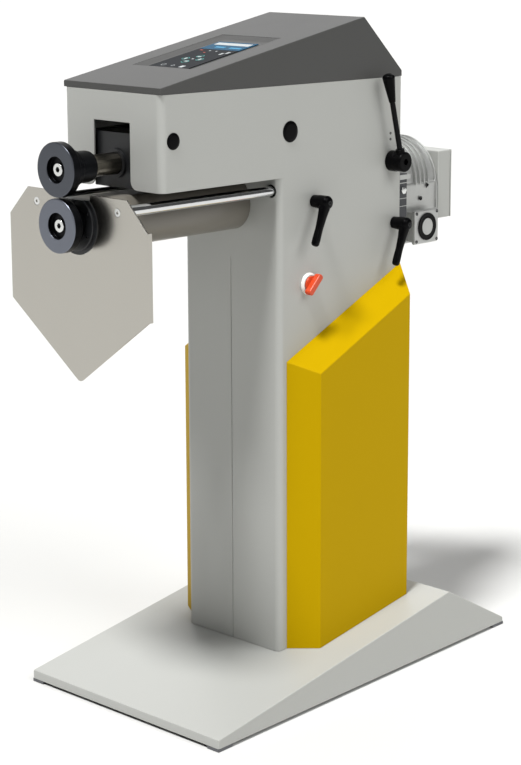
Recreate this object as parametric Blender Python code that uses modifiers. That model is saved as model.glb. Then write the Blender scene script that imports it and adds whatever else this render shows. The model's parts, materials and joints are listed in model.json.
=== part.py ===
"""Electric bead roller: a floor-standing swaging machine, modelled in metres, Z up, front towards -Y.

A folded sheet base and column carry an overhanging head. A worm gear motor turns the lower shaft, a gear
pair drives the upper spindle, and an eccentric lever rocks the upper spindle up to open the rolls.
"""
import math

import bmesh
import bpy
from mathutils import Matrix, Vector

# Clearances and cutting
GAP = 0.0003
OVERRUN = 0.004
WELD = 0.000001
SEAM = 0.0006

# Main layout
LOWER_AXIS_Z = 0.964
ROLL_SPACING = 0.100
COLUMN_FRONT_Y = -0.075
COLUMN_DEPTH = 0.364
HEAD_REACH = 0.302
HEAD_BOTTOM_RISE = 0.056
HEAD_HEIGHT = 0.1752
BODY_WIDTH = 0.258
ROLL_OVERHANG = 0.133

# Sheet housing
SHEET = 0.003
BEND_RADIUS = 0.014
BACK_BEND_RADIUS = 0.006
BACK_FLANGE = 0.022
BEND_STEPS = 4
SLOT_HALF_WIDTH = 0.048
SLOT_HEIGHT = 0.121
SLOT_CORNER = 0.016

# Base
BASE_WIDTH = 0.522
BASE_FRONT_AHEAD = 0.303
BASE_LENGTH = 0.874
BASE_SHEET = 0.003
BASE_EDGE = 0.003
FRONT_LIP_Z = 0.0234
BACK_LIP_Z = 0.0150
RIDGE_Z = 0.1253
RIDGE_BEHIND = 0.015
FOOT_HEIGHT = 0.006
FOOT_LENGTH = 0.037
FOOT_WIDTH = 0.030
FLOOR_PLATE = 0.003
STIFFENER = 0.008
STIFFENER_INSET = 0.014

# Top cover and control panel
COVER_SHEET = 0.002
COVER_SEAT = 0.0006
COVER_LIP = 0.0115
COVER_EDGE = 0.002
PEAK_BEHIND = 0.247
COVER_HEIGHT = 0.1223
RECESS_WIDTH = 0.156
RECESS_LENGTH = 0.242
RECESS_START = 0.128
RECESS_SLOPE = 0.013
RECESS_DEPTH = 0.006
TRAY_SHEET = 0.0015
KEYPAD_WIDTH = 0.104
KEYPAD_LENGTH = 0.136
KEYPAD_START = 0.142
DISPLAY_LENGTH = 0.056
PANEL_THICKNESS = 0.0015
PANEL_EDGE = 0.0005

# Rear panel
PANEL_SHEET = 0.003
PANEL_INSET = 0.006
PANEL_BOTTOM_RISE = 0.006
PANEL_TOP_DROP = 0.006

# Side covers
COVER_FRONT_AHEAD = 0.021
COVER_FRONT_Z = 0.6595
COVER_OUT = 0.059
COVER_FRONT_CHAMFER = 0.034
COVER_BACK_CHAMFER = 0.038
COVER_RISE_SHARE = 0.4446
COVER_DROP_SHARE = 0.60
COVER_WALL = 0.002
COVER_ROUND = 0.0015

# Rolls and shafts
ROLL_RADIUS = 0.0497
ROLL_DISC = 0.018
ROLL_RIM = 0.0015
ROLL_RECESS_RADIUS = 0.0238
ROLL_RECESS = 0.009
LOWER_HUB_RADIUS = 0.034
LOWER_HUB_LENGTH = 0.020
UPPER_HUB_RADIUS = 0.034
UPPER_HUB_LENGTH = 0.022
UPPER_NECK_RADIUS = 0.029
UPPER_NECK_LENGTH = 0.035
HUB_EDGE = 0.002
SHAFT_RADIUS = 0.020
SHAFT_COLLAR = 0.0035
COLLAR_LENGTH = 0.006
ROLL_WEB = 0.004
SCREW_HEAD_RADIUS = 0.012
SCREW_HEAD_DEPTH = 0.0035
SCREW_SHANK_RADIUS = 0.006
SCREW_LENGTH = 0.026
SOCKET_RADIUS = 0.0046
SOCKET_DEPTH = 0.0028
TURN_STEPS = 22
ARC_STEPS = 10
TIP_STEPS = 6
BAR_ROUNDNESS = 3
ROD_ROUNDNESS = 4

# Lower arm
ARM_RADIUS = 0.054
ARM_FLAT_ABOVE = 0.044
ARM_START_BEHIND = 0.046
ARM_BORE = 0.0245
ARM_FLANGE_RADIUS = 0.072
ARM_FLANGE = 0.004
ARM_CAP_RADIUS = 0.050
ARM_CAP = 0.006

# Bearings
BEARING_RADIUS = 0.034
BEARING_WIDTH = 0.018
BEARING_STEPS = 20
BULKHEAD = 0.020
BULKHEAD_BEHIND = 0.053
BULKHEAD_ABOVE = 0.026
BULKHEAD_BELOW = 0.069

# Gears on the shafts
GEAR_TEETH = 25
GEAR_WIDTH = 0.024
PRESSURE_ANGLE = math.radians(20)
DEDENDUM_SHARE = 1.25
TOOTH_THINNING = 0.0003
FLANK_STEPS = 2

# Rocker that carries the upper spindle
PIVOT_BEHIND = 0.032
PIVOT_RISE = 0.043
PIVOT_PIN_RADIUS = 0.012
PIVOT_FLANGE_RADIUS = 0.024
PIVOT_FLANGE = 0.008
ROCKER_GEAR_GAP = 0.004
ROCKER_PLATE = 0.016
ROCKER_FRONT_INSET = 0.010
ROCKER_BELOW = 0.037
ROCKER_ABOVE = 0.056
ROCKER_PIVOT_WALL = 0.025
ROCKER_TAIL_RISE = 0.002
ROCKER_TAIL_HEIGHT = 0.038
ROCKER_TAIL_END = 0.018
FRONT_BLOCK_LENGTH = 0.068
FRONT_BLOCK_WALL = 0.012
APRON_DROP = 0.0005
NOSE_RADIUS = 0.027
NOSE_LENGTH = 0.005
REAR_BLOCK_START_BEHIND = 0.030
REAR_BLOCK_LENGTH = 0.030
REAR_BLOCK_ABOVE = 0.040
TAIL_BLOCK_LENGTH = 0.036
TAIL_BLOCK_STEP = 0.006
TAIL_FORK_HALF = 0.016
ECCENTRIC_OFFSET = 0.0083
ECCENTRIC_ANGLE = math.radians(135)
ECCENTRIC_PLAY = 0.0012
ECCENTRIC_SLIDE = 0.0045
FORK_WALL = 0.008

# Eccentric lever
LEVER_SHAFT_AHEAD = 0.031
LEVER_SHAFT_RISE = 0.062
LEVER_SHAFT_RADIUS = 0.012
ECCENTRIC_HALF = 0.018
LEVER_HUB_RADIUS = 0.0212
LEVER_HUB_LENGTH = 0.038
LEVER_HUB_EDGE = 0.003
LEVER_SOCKET_RADIUS = 0.0065
LEVER_SOCKET_DEPTH = 0.006
LEVER_LEAN = math.radians(14.4)
LEVER_ARM_OUT = 0.027
LEVER_ROD_RADIUS = 0.0055
LEVER_ROD_END = 0.132
LEVER_GRIP_START = 0.126
LEVER_GRIP_END = 0.184
LEVER_GRIP_FOOT_RADIUS = 0.0072
LEVER_GRIP_TOP_RADIUS = 0.0128
GRIP_PLACE_SHARES = (0, 0.08, 0.9, 1)
GRIP_FOOT_SHARE = 0.9
GRIP_TOP_SHARE = 0.8

# Clamp levers
CLAMP_FRONT_BEHIND = 0.026
CLAMP_FRONT_BELOW = 0.027
CLAMP_REAR_AHEAD = 0.022
CLAMP_REAR_BELOW = 0.066
CLAMP_LEAN = math.radians(25)
CLAMP_HUB_RADIUS = 0.0135
CLAMP_HUB_LENGTH = 0.036
CLAMP_HUB_DOME = 0.006
CLAMP_HANDLE_LENGTH = 0.089
CLAMP_HANDLE_ROOT = 0.0105
CLAMP_HANDLE_NECK = 0.0070
CLAMP_HANDLE_END = 0.0082
CLAMP_HANDLE_OUT = 0.006
CLAMP_HANDLE_SHARES = (0, 0.25, 0.85, 0.93, 1)
CLAMP_TIP_SHARE = 0.6
CLAMP_DOME_SHARES = (0.86, 0.5)
CLAMP_STUD_RADIUS = 0.006
CLAMP_STUD_DEPTH = 0.016
CLAMP_BLOCK_X = 0.026
CLAMP_BLOCK_LENGTH = 0.036
CLAMP_BLOCK_HEIGHT = 0.036

# Plugs and pivot caps
PLUG_BEHIND = 0.029
PLUG_BELOW = 0.0832
PLUG_RADIUS = 0.0154
CAP_RADIUS = 0.0206
PLUG_HEAD = 0.003
PLUG_STEM_INSET = 0.004
PLUG_STEPS = 16

# Main switch
SWITCH_BEHIND = 0.083
SWITCH_BELOW = 0.158
SWITCH_BEZEL_RADIUS = 0.022
SWITCH_BEZEL = 0.006
SWITCH_STEM_RADIUS = 0.010
SWITCH_STEM_LENGTH = 0.030
KNOB_RADIUS = 0.016
KNOB_BASE = 0.004
KNOB_HEIGHT = 0.016
KNOB_LENGTH = 0.048
KNOB_WIDTH = 0.013
KNOB_LEAN = math.radians(45)
KNOB_EDGE = 0.002

# Gauge
GAUGE_BEHIND_ROLL = 0.046
GAUGE_SHEET = 0.003
GAUGE_TOP_CLEARANCE = 0.0015
GAUGE_TOP_HALF = 0.132
GAUGE_HALF = 0.184
GAUGE_SHOULDER_DROP = 0.0535
GAUGE_SIDE_LENGTH = 0.159
GAUGE_TIP_DROP = 0.132
GAUGE_TIP_ROUND = 0.012
GAUGE_FLANGE = 0.011
GAUGE_HOLE_CLEARANCE = 0.0025
GAUGE_NECK_CLEARANCE = 0.0047
GAUGE_HOLE_STEPS = 28
GUIDE_INSET = 0.021
GUIDE_RISE = 0.030
GUIDE_RADIUS = 0.010
GUIDE_REAR_BEHIND = 0.095
GUIDE_HOLE_RADIUS = 0.0132
GUIDE_BLOCK_X = 0.041
GUIDE_BLOCK_LENGTH = 0.050
GUIDE_BLOCK_BELOW = 0.046
GUIDE_BLOCK_ABOVE = 0.020
GUIDE_SCREW_RADIUS = 0.008
GUIDE_SCREW_SHANK = 0.0062
GUIDE_EDGE = 0.001

# Worm gear unit
ADAPTER_INSET = 0.007
ADAPTER_PLATE = 0.024
ADAPTER_BELOW = 0.060
ADAPTER_ABOVE = 0.030
ADAPTER_SPIGOT = 0.052
ADAPTER_SPIGOT_LENGTH = 0.013
GEARBOX_LENGTH = 0.126
GEARBOX_RADIUS = 0.086
GEARBOX_FIN = 0.006
GEARBOX_FIN_WIDTH = 0.004
GEARBOX_FIN_PITCH = 0.014
GEARBOX_FIN_COUNT = 4
GEARBOX_FIN_START = 0.053
GEARBOX_BOSS_RADIUS = 0.050
GEARBOX_STEPS = 28
SKIRT_HALF = 0.091
SKIRT_LENGTH = 0.124
WORM_DROP = 0.090
WORM_HALF_LENGTH = 0.105
WORM_BODY_SHARE = 0.86
FLANGE_THICKNESS = 0.010
FLANGE_LENGTH = 0.080
FLANGE_HEIGHT = 0.072
FLANGE_EDGE = 0.004
WORM_RING_RADIUS = 0.029
WORM_RING_HOLE = 0.018
WORM_RING = 0.003
WORM_CAP = 0.002
GEARBOX_EDGE = 0.005
SHAFT_REAR_DEPTH = 0.100

# Motor
MOTOR_ADAPTER = 0.012
MOTOR_ADAPTER_RADIUS = 0.055
MOTOR_RADIUS = 0.062
MOTOR_FIN = 0.006
MOTOR_FIN_COUNT = 16
MOTOR_FIN_SHARES = (0.45, 0.6, 0.85)
MOTOR_LENGTH = 0.106
FAN_COVER_RADIUS = 0.060
FAN_COVER_LENGTH = 0.0265
FAN_COVER_EDGE = 0.008
FAN_GRILLE_RADIUS = 0.040
FAN_GRILLE_DEPTH = 0.003
FAN_RIB = 0.008

# Drive box
DRIVE_BOX_SPACER = 0.0085
DRIVE_BOX_HALF = 0.087
DRIVE_BOX_DEPTH = 0.042
DRIVE_BOX_BELOW = 0.084
DRIVE_BOX_HEIGHT = 0.145
DRIVE_BOX_EDGE = 0.003
DRIVE_LID = 0.0033
GLAND_X = -0.045
GLAND_NUT_RADIUS = 0.014
GLAND_NUT = 0.007
GLAND_DOME_RADIUS = 0.011
GLAND_DOME = 0.014
GLAND_BORE = 0.0045

# Worked out from the values above
UPPER_AXIS_Z = LOWER_AXIS_Z + ROLL_SPACING
HEAD_BOTTOM_Z = LOWER_AXIS_Z + HEAD_BOTTOM_RISE
BODY_TOP_Z = HEAD_BOTTOM_Z + HEAD_HEIGHT
SLOT_TOP_Z = HEAD_BOTTOM_Z + SLOT_HEIGHT
PEAK_Z = BODY_TOP_Z + COVER_HEIGHT
PIVOT_Z = UPPER_AXIS_Z + PIVOT_RISE
PLUG_Z = BODY_TOP_Z - PLUG_BELOW
HEAD_FRONT_Y = COLUMN_FRONT_Y - HEAD_REACH
BODY_BACK_Y = COLUMN_FRONT_Y + COLUMN_DEPTH
BODY_HALF = BODY_WIDTH / 2
WALL_X = BODY_HALF - SHEET
ROLL_FRONT_Y = HEAD_FRONT_Y - ROLL_OVERHANG
BASE_HALF = BASE_WIDTH / 2
BASE_FRONT_Y = COLUMN_FRONT_Y - BASE_FRONT_AHEAD
BASE_BACK_Y = BASE_FRONT_Y + BASE_LENGTH
RIDGE_Y = BODY_BACK_Y + RIDGE_BEHIND
BASE_SLOPE = (RIDGE_Z - FRONT_LIP_Z) / (RIDGE_Y - BASE_FRONT_Y)
PIVOT_Y = COLUMN_FRONT_Y + PIVOT_BEHIND
GEAR_FRONT_Y = PIVOT_Y - GEAR_WIDTH / 2
GEAR_MODULE = ROLL_SPACING / GEAR_TEETH
GEAR_TIP_RADIUS = ROLL_SPACING / 2 + GEAR_MODULE
GUIDE_X = BODY_HALF - GUIDE_INSET
GUIDE_Z = LOWER_AXIS_Z + GUIDE_RISE
GUIDE_REAR_Y = COLUMN_FRONT_Y + GUIDE_REAR_BEHIND
LEVER_SHAFT_Y = BODY_BACK_Y - LEVER_SHAFT_AHEAD
LEVER_SHAFT_Z = LOWER_AXIS_Z + LEVER_SHAFT_RISE
CLAMP_REAR_Y = BODY_BACK_Y - CLAMP_REAR_AHEAD
CLAMP_REAR_Z = LOWER_AXIS_Z - CLAMP_REAR_BELOW
CLAMP_FRONT_Z = GUIDE_Z - CLAMP_FRONT_BELOW
SWITCH_Y = COLUMN_FRONT_Y + SWITCH_BEHIND
SWITCH_Z = LOWER_AXIS_Z - SWITCH_BELOW
GAUGE_TOP_Z = HEAD_BOTTOM_Z - GAUGE_TOP_CLEARANCE
GAUGE_SHOULDER_Z = GAUGE_TOP_Z - GAUGE_SHOULDER_DROP
GAUGE_SIDE_END_Z = GAUGE_SHOULDER_Z - GAUGE_SIDE_LENGTH
GAUGE_TIP_Z = GAUGE_SIDE_END_Z - GAUGE_TIP_DROP
GAUGE_HOLE_RADIUS = ARM_RADIUS + GAUGE_HOLE_CLEARANCE
GAUGE_NECK_HALF = math.sqrt(ARM_RADIUS**2 - ARM_FLAT_ABOVE**2) + GAUGE_NECK_CLEARANCE
DRIVE_BOX_BOTTOM_Z = LOWER_AXIS_Z - DRIVE_BOX_BELOW
BULKHEAD_Y = COLUMN_FRONT_Y + BULKHEAD_BEHIND
CLAMP_FRONT_Y = BULKHEAD_Y + BULKHEAD + CLAMP_FRONT_BEHIND
GAUGE_Y = ROLL_FRONT_Y + GAUGE_BEHIND_ROLL
ARM_FRONT_Y = ROLL_FRONT_Y + ARM_START_BEHIND
PANEL_BACK_Y = BODY_BACK_Y + GAP + PANEL_SHEET
ADAPTER_Y = PANEL_BACK_Y + GAP
ADAPTER_HALF = BODY_HALF - ADAPTER_INSET
GEARBOX_Y = ADAPTER_Y + ADAPTER_PLATE + ADAPTER_SPIGOT_LENGTH + GAP
GEARBOX_BACK_Y = GEARBOX_Y + GEARBOX_LENGTH
WORM_Y = GEARBOX_Y + GEARBOX_LENGTH / 2
WORM_Z = LOWER_AXIS_Z - WORM_DROP
SHAFT_REAR_Y = GEARBOX_Y + SHAFT_REAR_DEPTH
ROCKER_FRONT_Y = HEAD_FRONT_Y + ROCKER_FRONT_INSET
SHAFT_FRONT_Y = ROLL_FRONT_Y + ROLL_RECESS + ROLL_WEB + GAP
REAR_BLOCK_Y = PIVOT_Y + REAR_BLOCK_START_BEHIND
ROCKER_INNER_HALF = GEAR_TIP_RADIUS + ROCKER_GEAR_GAP
ROCKER_BOTTOM_Z = UPPER_AXIS_Z - ROCKER_BELOW
ROCKER_TOP_Z = UPPER_AXIS_Z + ROCKER_ABOVE
ROCKER_PIVOT_TOP_Z = PIVOT_Z + ROCKER_PIVOT_WALL
ROCKER_TAIL_BOTTOM_Z = UPPER_AXIS_Z + ROCKER_TAIL_RISE
ROCKER_TAIL_TOP_Z = ROCKER_TAIL_BOTTOM_Z + ROCKER_TAIL_HEIGHT
ROCKER_TAIL_Y = LEVER_SHAFT_Y + ROCKER_TAIL_END
REAR_BLOCK_TOP_Z = UPPER_AXIS_Z + REAR_BLOCK_ABOVE
TAIL_BLOCK_BOTTOM_Z = ROCKER_TAIL_BOTTOM_Z + TAIL_BLOCK_STEP

AXIS_TURN = {
    "X": Matrix.Rotation(math.pi / 2, 4, "Y"),
    "Y": Matrix.Rotation(-math.pi / 2, 4, "X"),
    "-X": Matrix.Rotation(-math.pi / 2, 4, "Y"),
    "-Z": Matrix.Rotation(math.pi, 4, "X"),
    "Z": Matrix.Identity(4),
}
PLANE_TURN = {
    "YZ": Matrix(((0, 0, 1, 0), (1, 0, 0, 0), (0, 1, 0, 0), (0, 0, 0, 1))),
    "XZ": Matrix(((1, 0, 0, 0), (0, 0, -1, 0), (0, 1, 0, 0), (0, 0, 0, 1))),
}


def clear_scene():
    for item in list(bpy.data.objects):
        bpy.data.objects.remove(item, do_unlink=True)


def make_collection(name):
    made = bpy.data.collections.new(name)
    bpy.context.scene.collection.children.link(made)
    return made


clear_scene()
PARTS = make_collection("bead_roller")
CUTTERS = make_collection("cutters")
LOOKS = {}


def look(name, color, roughness, metallic):
    """One Principled material for each named finish, made the first time it is asked for."""
    if name not in LOOKS:
        made = bpy.data.materials.new(name)
        made.use_nodes = True
        shader = made.node_tree.nodes["Principled BSDF"]
        shader.inputs["Base Color"].default_value = (*color, 1)
        shader.inputs["Roughness"].default_value = roughness
        shader.inputs["Metallic"].default_value = metallic
        LOOKS[name] = made
    return LOOKS[name]


def grey_paint():
    return look("light_grey_powder_coat", (0.43, 0.43, 0.41), 0.45, 0)


def dark_paint():
    return look("dark_grey_powder_coat", (0.22, 0.22, 0.21), 0.5, 0)


def yellow_paint():
    return look("yellow_powder_coat", (0.75, 0.55, 0), 0.4, 0)


def black_steel():
    return look("blackened_steel", (0.03, 0.032, 0.036), 0.4, 0.8)


def bright_steel():
    return look("bright_steel", (0.6, 0.6, 0.6), 0.25, 1)


def stainless():
    return look("brushed_stainless", (0.55, 0.55, 0.54), 0.35, 1)


def zinc():
    return look("zinc_plated_steel", (0.7, 0.7, 0.7), 0.35, 1)


def black_paint():
    return look("black_paint", (0.02, 0.02, 0.02), 0.5, 0)


def black_plastic():
    return look("black_plastic", (0.015, 0.015, 0.016), 0.35, 0)


def cast_aluminium():
    return look("cast_aluminium", (0.55, 0.55, 0.54), 0.5, 0.9)


def dark_casting():
    return look("dark_casting", (0.09, 0.09, 0.09), 0.6, 0.3)


def keep(name, data, finish):
    """Links new data as a part, or as a hidden cutter when it has no finish."""
    made = bpy.data.objects.new(name, data)
    if finish is None:
        CUTTERS.objects.link(made)
        made.hide_render = True
        made.display_type = "WIRE"
    else:
        PARTS.objects.link(made)
        data.materials.append(finish)
    return made


def mesh_piece(name, bm, finish):
    mesh = bpy.data.meshes.new(name)
    bm.to_mesh(mesh)
    bm.free()
    return keep(name, mesh, finish)


def add_box(bm, low, high):
    low = Vector(low)
    high = Vector(high)
    size = Matrix.Diagonal((*(high - low), 1))
    bmesh.ops.create_cube(bm, size=1, matrix=Matrix.Translation((low + high) / 2) @ size)


def box(name, low, high, finish):
    bm = bmesh.new()
    add_box(bm, low, high)
    return mesh_piece(name, bm, finish)


def add_round(bm, axis, start, length, radius, sides, end_radius=None):
    """A cylinder or cone that starts at a point and runs along the named axis."""
    turn = AXIS_TURN[axis]
    middle = Vector(start) + turn.to_3x3() @ Vector((0, 0, length / 2))
    bmesh.ops.create_cone(
        bm,
        cap_ends=True,
        segments=sides,
        radius1=radius,
        radius2=radius if end_radius is None else end_radius,
        depth=length,
        matrix=Matrix.Translation(middle) @ turn,
    )


def rounds(name, axis, starts, length, radius, sides, finish, end_radius=None):
    """Several like cylinders in one piece, as separate solids."""
    bm = bmesh.new()
    for start in starts:
        add_round(bm, axis, start, length, radius, sides, end_radius)
    return mesh_piece(name, bm, finish)


def turned(name, axis, start, outside, finish, inside=None, steps=TURN_STEPS):
    """A turned piece: (along, radius) points of its outside, then of its bore if it has one."""
    loop = list(outside) + list(inside or [])
    points = [(radius, 0, along) for along, radius in reversed(loop)]
    edges = [(i, i + 1) for i in range(len(points) - 1)]
    if inside:
        edges.append((len(points) - 1, 0))
    mesh = bpy.data.meshes.new(name)
    mesh.from_pydata(points, edges, [])
    made = keep(name, mesh, finish)
    made.matrix_world = Matrix.Translation(start) @ AXIS_TURN[axis]
    screw = made.modifiers.new("Turn", "SCREW")
    screw.steps = steps
    screw.render_steps = steps
    screw.use_merge_vertices = True
    screw.merge_threshold = WELD
    screw.use_smooth_shade = True
    return made


def arc(center, radius, start_degrees, end_degrees, steps):
    """Points along an arc, its two ends included."""
    first = math.radians(start_degrees)
    step = (math.radians(end_degrees) - first) / steps
    places = [first + step * i for i in range(steps + 1)]
    return [(center[0] + radius * math.cos(a), center[1] + radius * math.sin(a)) for a in places]


def plate(name, plane, outline, start, thickness, finish, holes=()):
    """A flat outline in the YZ or XZ plane, with its thickness from start along the third axis."""
    curve = bpy.data.curves.new(name, "CURVE")
    curve.dimensions = "2D"
    curve.fill_mode = "BOTH"
    curve.extrude = thickness / 2
    for ring in [outline, *holes]:
        spline = curve.splines.new("POLY")
        spline.points.add(len(ring) - 1)
        for point, place in zip(spline.points, ring):
            point.co = (place[0], place[1], 0, 1)
        spline.use_cyclic_u = True
    made = keep(name, curve, finish)
    middle = start + thickness / 2
    shift = (middle, 0, 0) if plane == "YZ" else (0, middle, 0)
    made.matrix_world = Matrix.Translation(shift) @ PLANE_TURN[plane]
    return made


def to_mesh(source):
    """The curve or modified object as a welded mesh object under the same name."""
    bpy.context.view_layer.update()
    seen = source.evaluated_get(bpy.context.evaluated_depsgraph_get())
    mesh = bpy.data.meshes.new_from_object(seen)
    bm = bmesh.new()
    bm.from_mesh(mesh)
    bmesh.ops.remove_doubles(bm, verts=bm.verts, dist=WELD)
    bm.to_mesh(mesh)
    bm.free()
    name = source.name
    place = source.matrix_world.copy()
    home = source.users_collection[0]
    hidden = source.hide_render
    bpy.data.objects.remove(source, do_unlink=True)
    made = bpy.data.objects.new(name, mesh)
    home.objects.link(made)
    made.matrix_world = place
    made.hide_render = hidden
    made.display_type = "WIRE" if hidden else "TEXTURED"
    return made


def boolean(piece, tool, operation):
    step = piece.modifiers.new(operation.title(), "BOOLEAN")
    step.operation = operation
    step.solver = "EXACT"
    step.object = tool


def cut(piece, *tools):
    for tool in tools:
        boolean(piece, tool, "DIFFERENCE")
    return piece


def join(piece, *tools):
    for tool in tools:
        boolean(piece, tool, "UNION")
    return piece


def round_edges(piece, width, segments=2, angle_degrees=30):
    step = piece.modifiers.new("Edges", "BEVEL")
    step.width = width
    step.segments = segments
    step.limit_method = "ANGLE"
    step.angle_limit = math.radians(angle_degrees)
    return piece


def twin(source, name):
    """The mirror image of a mesh piece, on the other side of the machine's middle."""
    bm = bmesh.new()
    bm.from_mesh(source.data)
    bmesh.ops.transform(bm, matrix=source.matrix_world, verts=bm.verts)
    bmesh.ops.scale(bm, vec=(-1, 1, 1), verts=bm.verts)
    bmesh.ops.reverse_faces(bm, faces=bm.faces)
    return mesh_piece(name, bm, source.data.materials[0])


def thicken(piece, thickness):
    step = piece.modifiers.new("Sheet", "SOLIDIFY")
    step.thickness = thickness
    step.offset = -1
    step.use_even_offset = True
    return piece


def tapered_bar(name, points, radii, finish, roundness=BAR_ROUNDNESS):
    """A bar along points whose radius changes from point to point, as a closed mesh."""
    curve = bpy.data.curves.new(name, "CURVE")
    curve.dimensions = "3D"
    curve.bevel_depth = 1
    curve.bevel_resolution = roundness
    curve.use_fill_caps = True
    spline = curve.splines.new("POLY")
    spline.points.add(len(points) - 1)
    for point, place, radius in zip(spline.points, points, radii):
        point.co = (*place, 1)
        point.radius = radius
    return to_mesh(keep(name, curve, finish))


def ride(axis_name, place, pieces):
    """Parents the pieces to an empty that stands on their joint's axis."""
    pin = bpy.data.objects.new(axis_name, None)
    pin.location = place
    PARTS.objects.link(pin)
    bpy.context.view_layer.update()
    for piece in pieces:
        kept = piece.matrix_world.copy()
        piece.parent = pin
        piece.matrix_parent_inverse = pin.matrix_world.inverted()
        piece.matrix_world = kept


def base_top(y):
    """Height of the base's outer surface: up from the front lip to the ridge, then down to the back."""
    if y <= RIDGE_Y:
        return FRONT_LIP_Z + BASE_SLOPE * (y - BASE_FRONT_Y)
    return RIDGE_Z + (BACK_LIP_Z - RIDGE_Z) * (y - RIDGE_Y) / (BASE_BACK_Y - RIDGE_Y)


def clear_of_base(y, wall):
    """Where a sheet that stands on the slope ends, so that its inner face clears the base too."""
    return base_top(y) + GAP + wall * BASE_SLOPE


def folded_lid(name, outline, half, finish):
    """A sheet lid: a YZ outline drawn over the width, closed by its two side faces, open below."""
    bm = bmesh.new()
    left = [bm.verts.new((-half, y, z)) for y, z in outline]
    right = [bm.verts.new((half, y, z)) for y, z in outline]
    for i in range(len(outline) - 1):
        bm.faces.new((left[i], right[i], right[i + 1], left[i + 1]))
    bm.faces.new(right)
    bm.faces.new(left[::-1])
    bmesh.ops.recalc_face_normals(bm, faces=bm.faces)
    return mesh_piece(name, bm, finish)


def base():
    outline = [
        (BASE_FRONT_Y, FOOT_HEIGHT),
        (BASE_FRONT_Y, FRONT_LIP_Z),
        (RIDGE_Y, RIDGE_Z),
        (BASE_BACK_Y, BACK_LIP_Z),
        (BASE_BACK_Y, FOOT_HEIGHT),
    ]
    shell = folded_lid("base_shell", outline, BASE_HALF, grey_paint())
    round_edges(shell, BASE_EDGE, 2, 15)
    thicken(shell, BASE_SHEET)
    inner = BASE_SHEET + GAP
    low = (-BASE_HALF + inner, BASE_FRONT_Y + inner, FOOT_HEIGHT)
    high = (BASE_HALF - inner, BASE_BACK_Y - inner, FOOT_HEIGHT + FLOOR_PLATE)
    frame = box("base_frame", low, high, dark_paint())
    feet = bmesh.new()
    necks = bmesh.new()
    fused = FOOT_HEIGHT + FLOOR_PLATE / 2
    for side in (-1, 1):
        for y in (BASE_FRONT_Y, BASE_BACK_Y - FOOT_LENGTH):
            near = side * (BASE_HALF - FOOT_WIDTH)
            far = side * BASE_HALF
            low = (min(near, far), y, 0)
            add_box(feet, low, (max(near, far), y + FOOT_LENGTH, FOOT_HEIGHT - GAP))
            far = side * (BASE_HALF - inner * 2)
            low = (min(near, far), y + inner * 2, FOOT_HEIGHT / 2)
            add_box(necks, low, (max(near, far), y + FOOT_LENGTH - inner * 2, fused))
    join(frame, mesh_piece("foot_neck_joiner", necks, None), mesh_piece("foot_joiner", feet, None))
    under = BASE_SHEET * 2 + GAP
    front = COLUMN_FRONT_Y
    back = BODY_BACK_Y
    web = [(front, fused), (back, fused), (back, base_top(back) - under), (front, base_top(front) - under)]
    for side, name in ((-1, "left_web_joiner"), (1, "right_web_joiner")):
        start = side * (BODY_HALF - STIFFENER_INSET) - STIFFENER / 2
        join(frame, to_mesh(plate(name, "YZ", web, start, STIFFENER, None)))


def wall_path(front_y, passing_y=None):
    """Plan line of one half of the sheet: from the seam round the front bend and back to the flange."""
    bend = arc((BODY_HALF - BEND_RADIUS, front_y + BEND_RADIUS), BEND_RADIUS, -90, 0, BEND_STEPS)
    back = (BODY_HALF - BACK_BEND_RADIUS, BODY_BACK_Y - BACK_BEND_RADIUS)
    turn = arc(back, BACK_BEND_RADIUS, 0, 90, BEND_STEPS)
    passing = [] if passing_y is None else [(BODY_HALF, passing_y)]
    flange = [(BODY_HALF - BACK_FLANGE, BODY_BACK_Y)]
    return [(SEAM / 2, front_y), *bend, *passing, *turn, *flange]


def strip(bm, path, side, bottom, top):
    """Sheet faces along a plan line, between two heights given as functions of y."""
    low = [bm.verts.new((side * x, y, bottom(y))) for x, y in path]
    high = [bm.verts.new((side * x, y, top(y))) for x, y in path]
    for i in range(len(path) - 1):
        ring = [low[i], low[i + 1], high[i + 1], high[i]]
        bm.faces.new(ring if side > 0 else ring[::-1])


def housing(side_holes, slot, front_holes):
    for side, name in ((-1, "housing_left"), (1, "housing_right")):
        bm = bmesh.new()
        column = wall_path(COLUMN_FRONT_Y)
        strip(bm, column, side, lambda y: clear_of_base(y, SHEET), lambda y: HEAD_BOTTOM_Z)
        head = wall_path(HEAD_FRONT_Y, COLUMN_FRONT_Y + BEND_RADIUS)
        strip(bm, head, side, lambda y: HEAD_BOTTOM_Z, lambda y: BODY_TOP_Z)
        bmesh.ops.remove_doubles(bm, verts=bm.verts, dist=WELD)
        half = mesh_piece(name, bm, grey_paint())
        thicken(half, SHEET)
        cut(half, slot, front_holes, side_holes[0])
        if side > 0:
            cut(half, side_holes[1])


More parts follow.
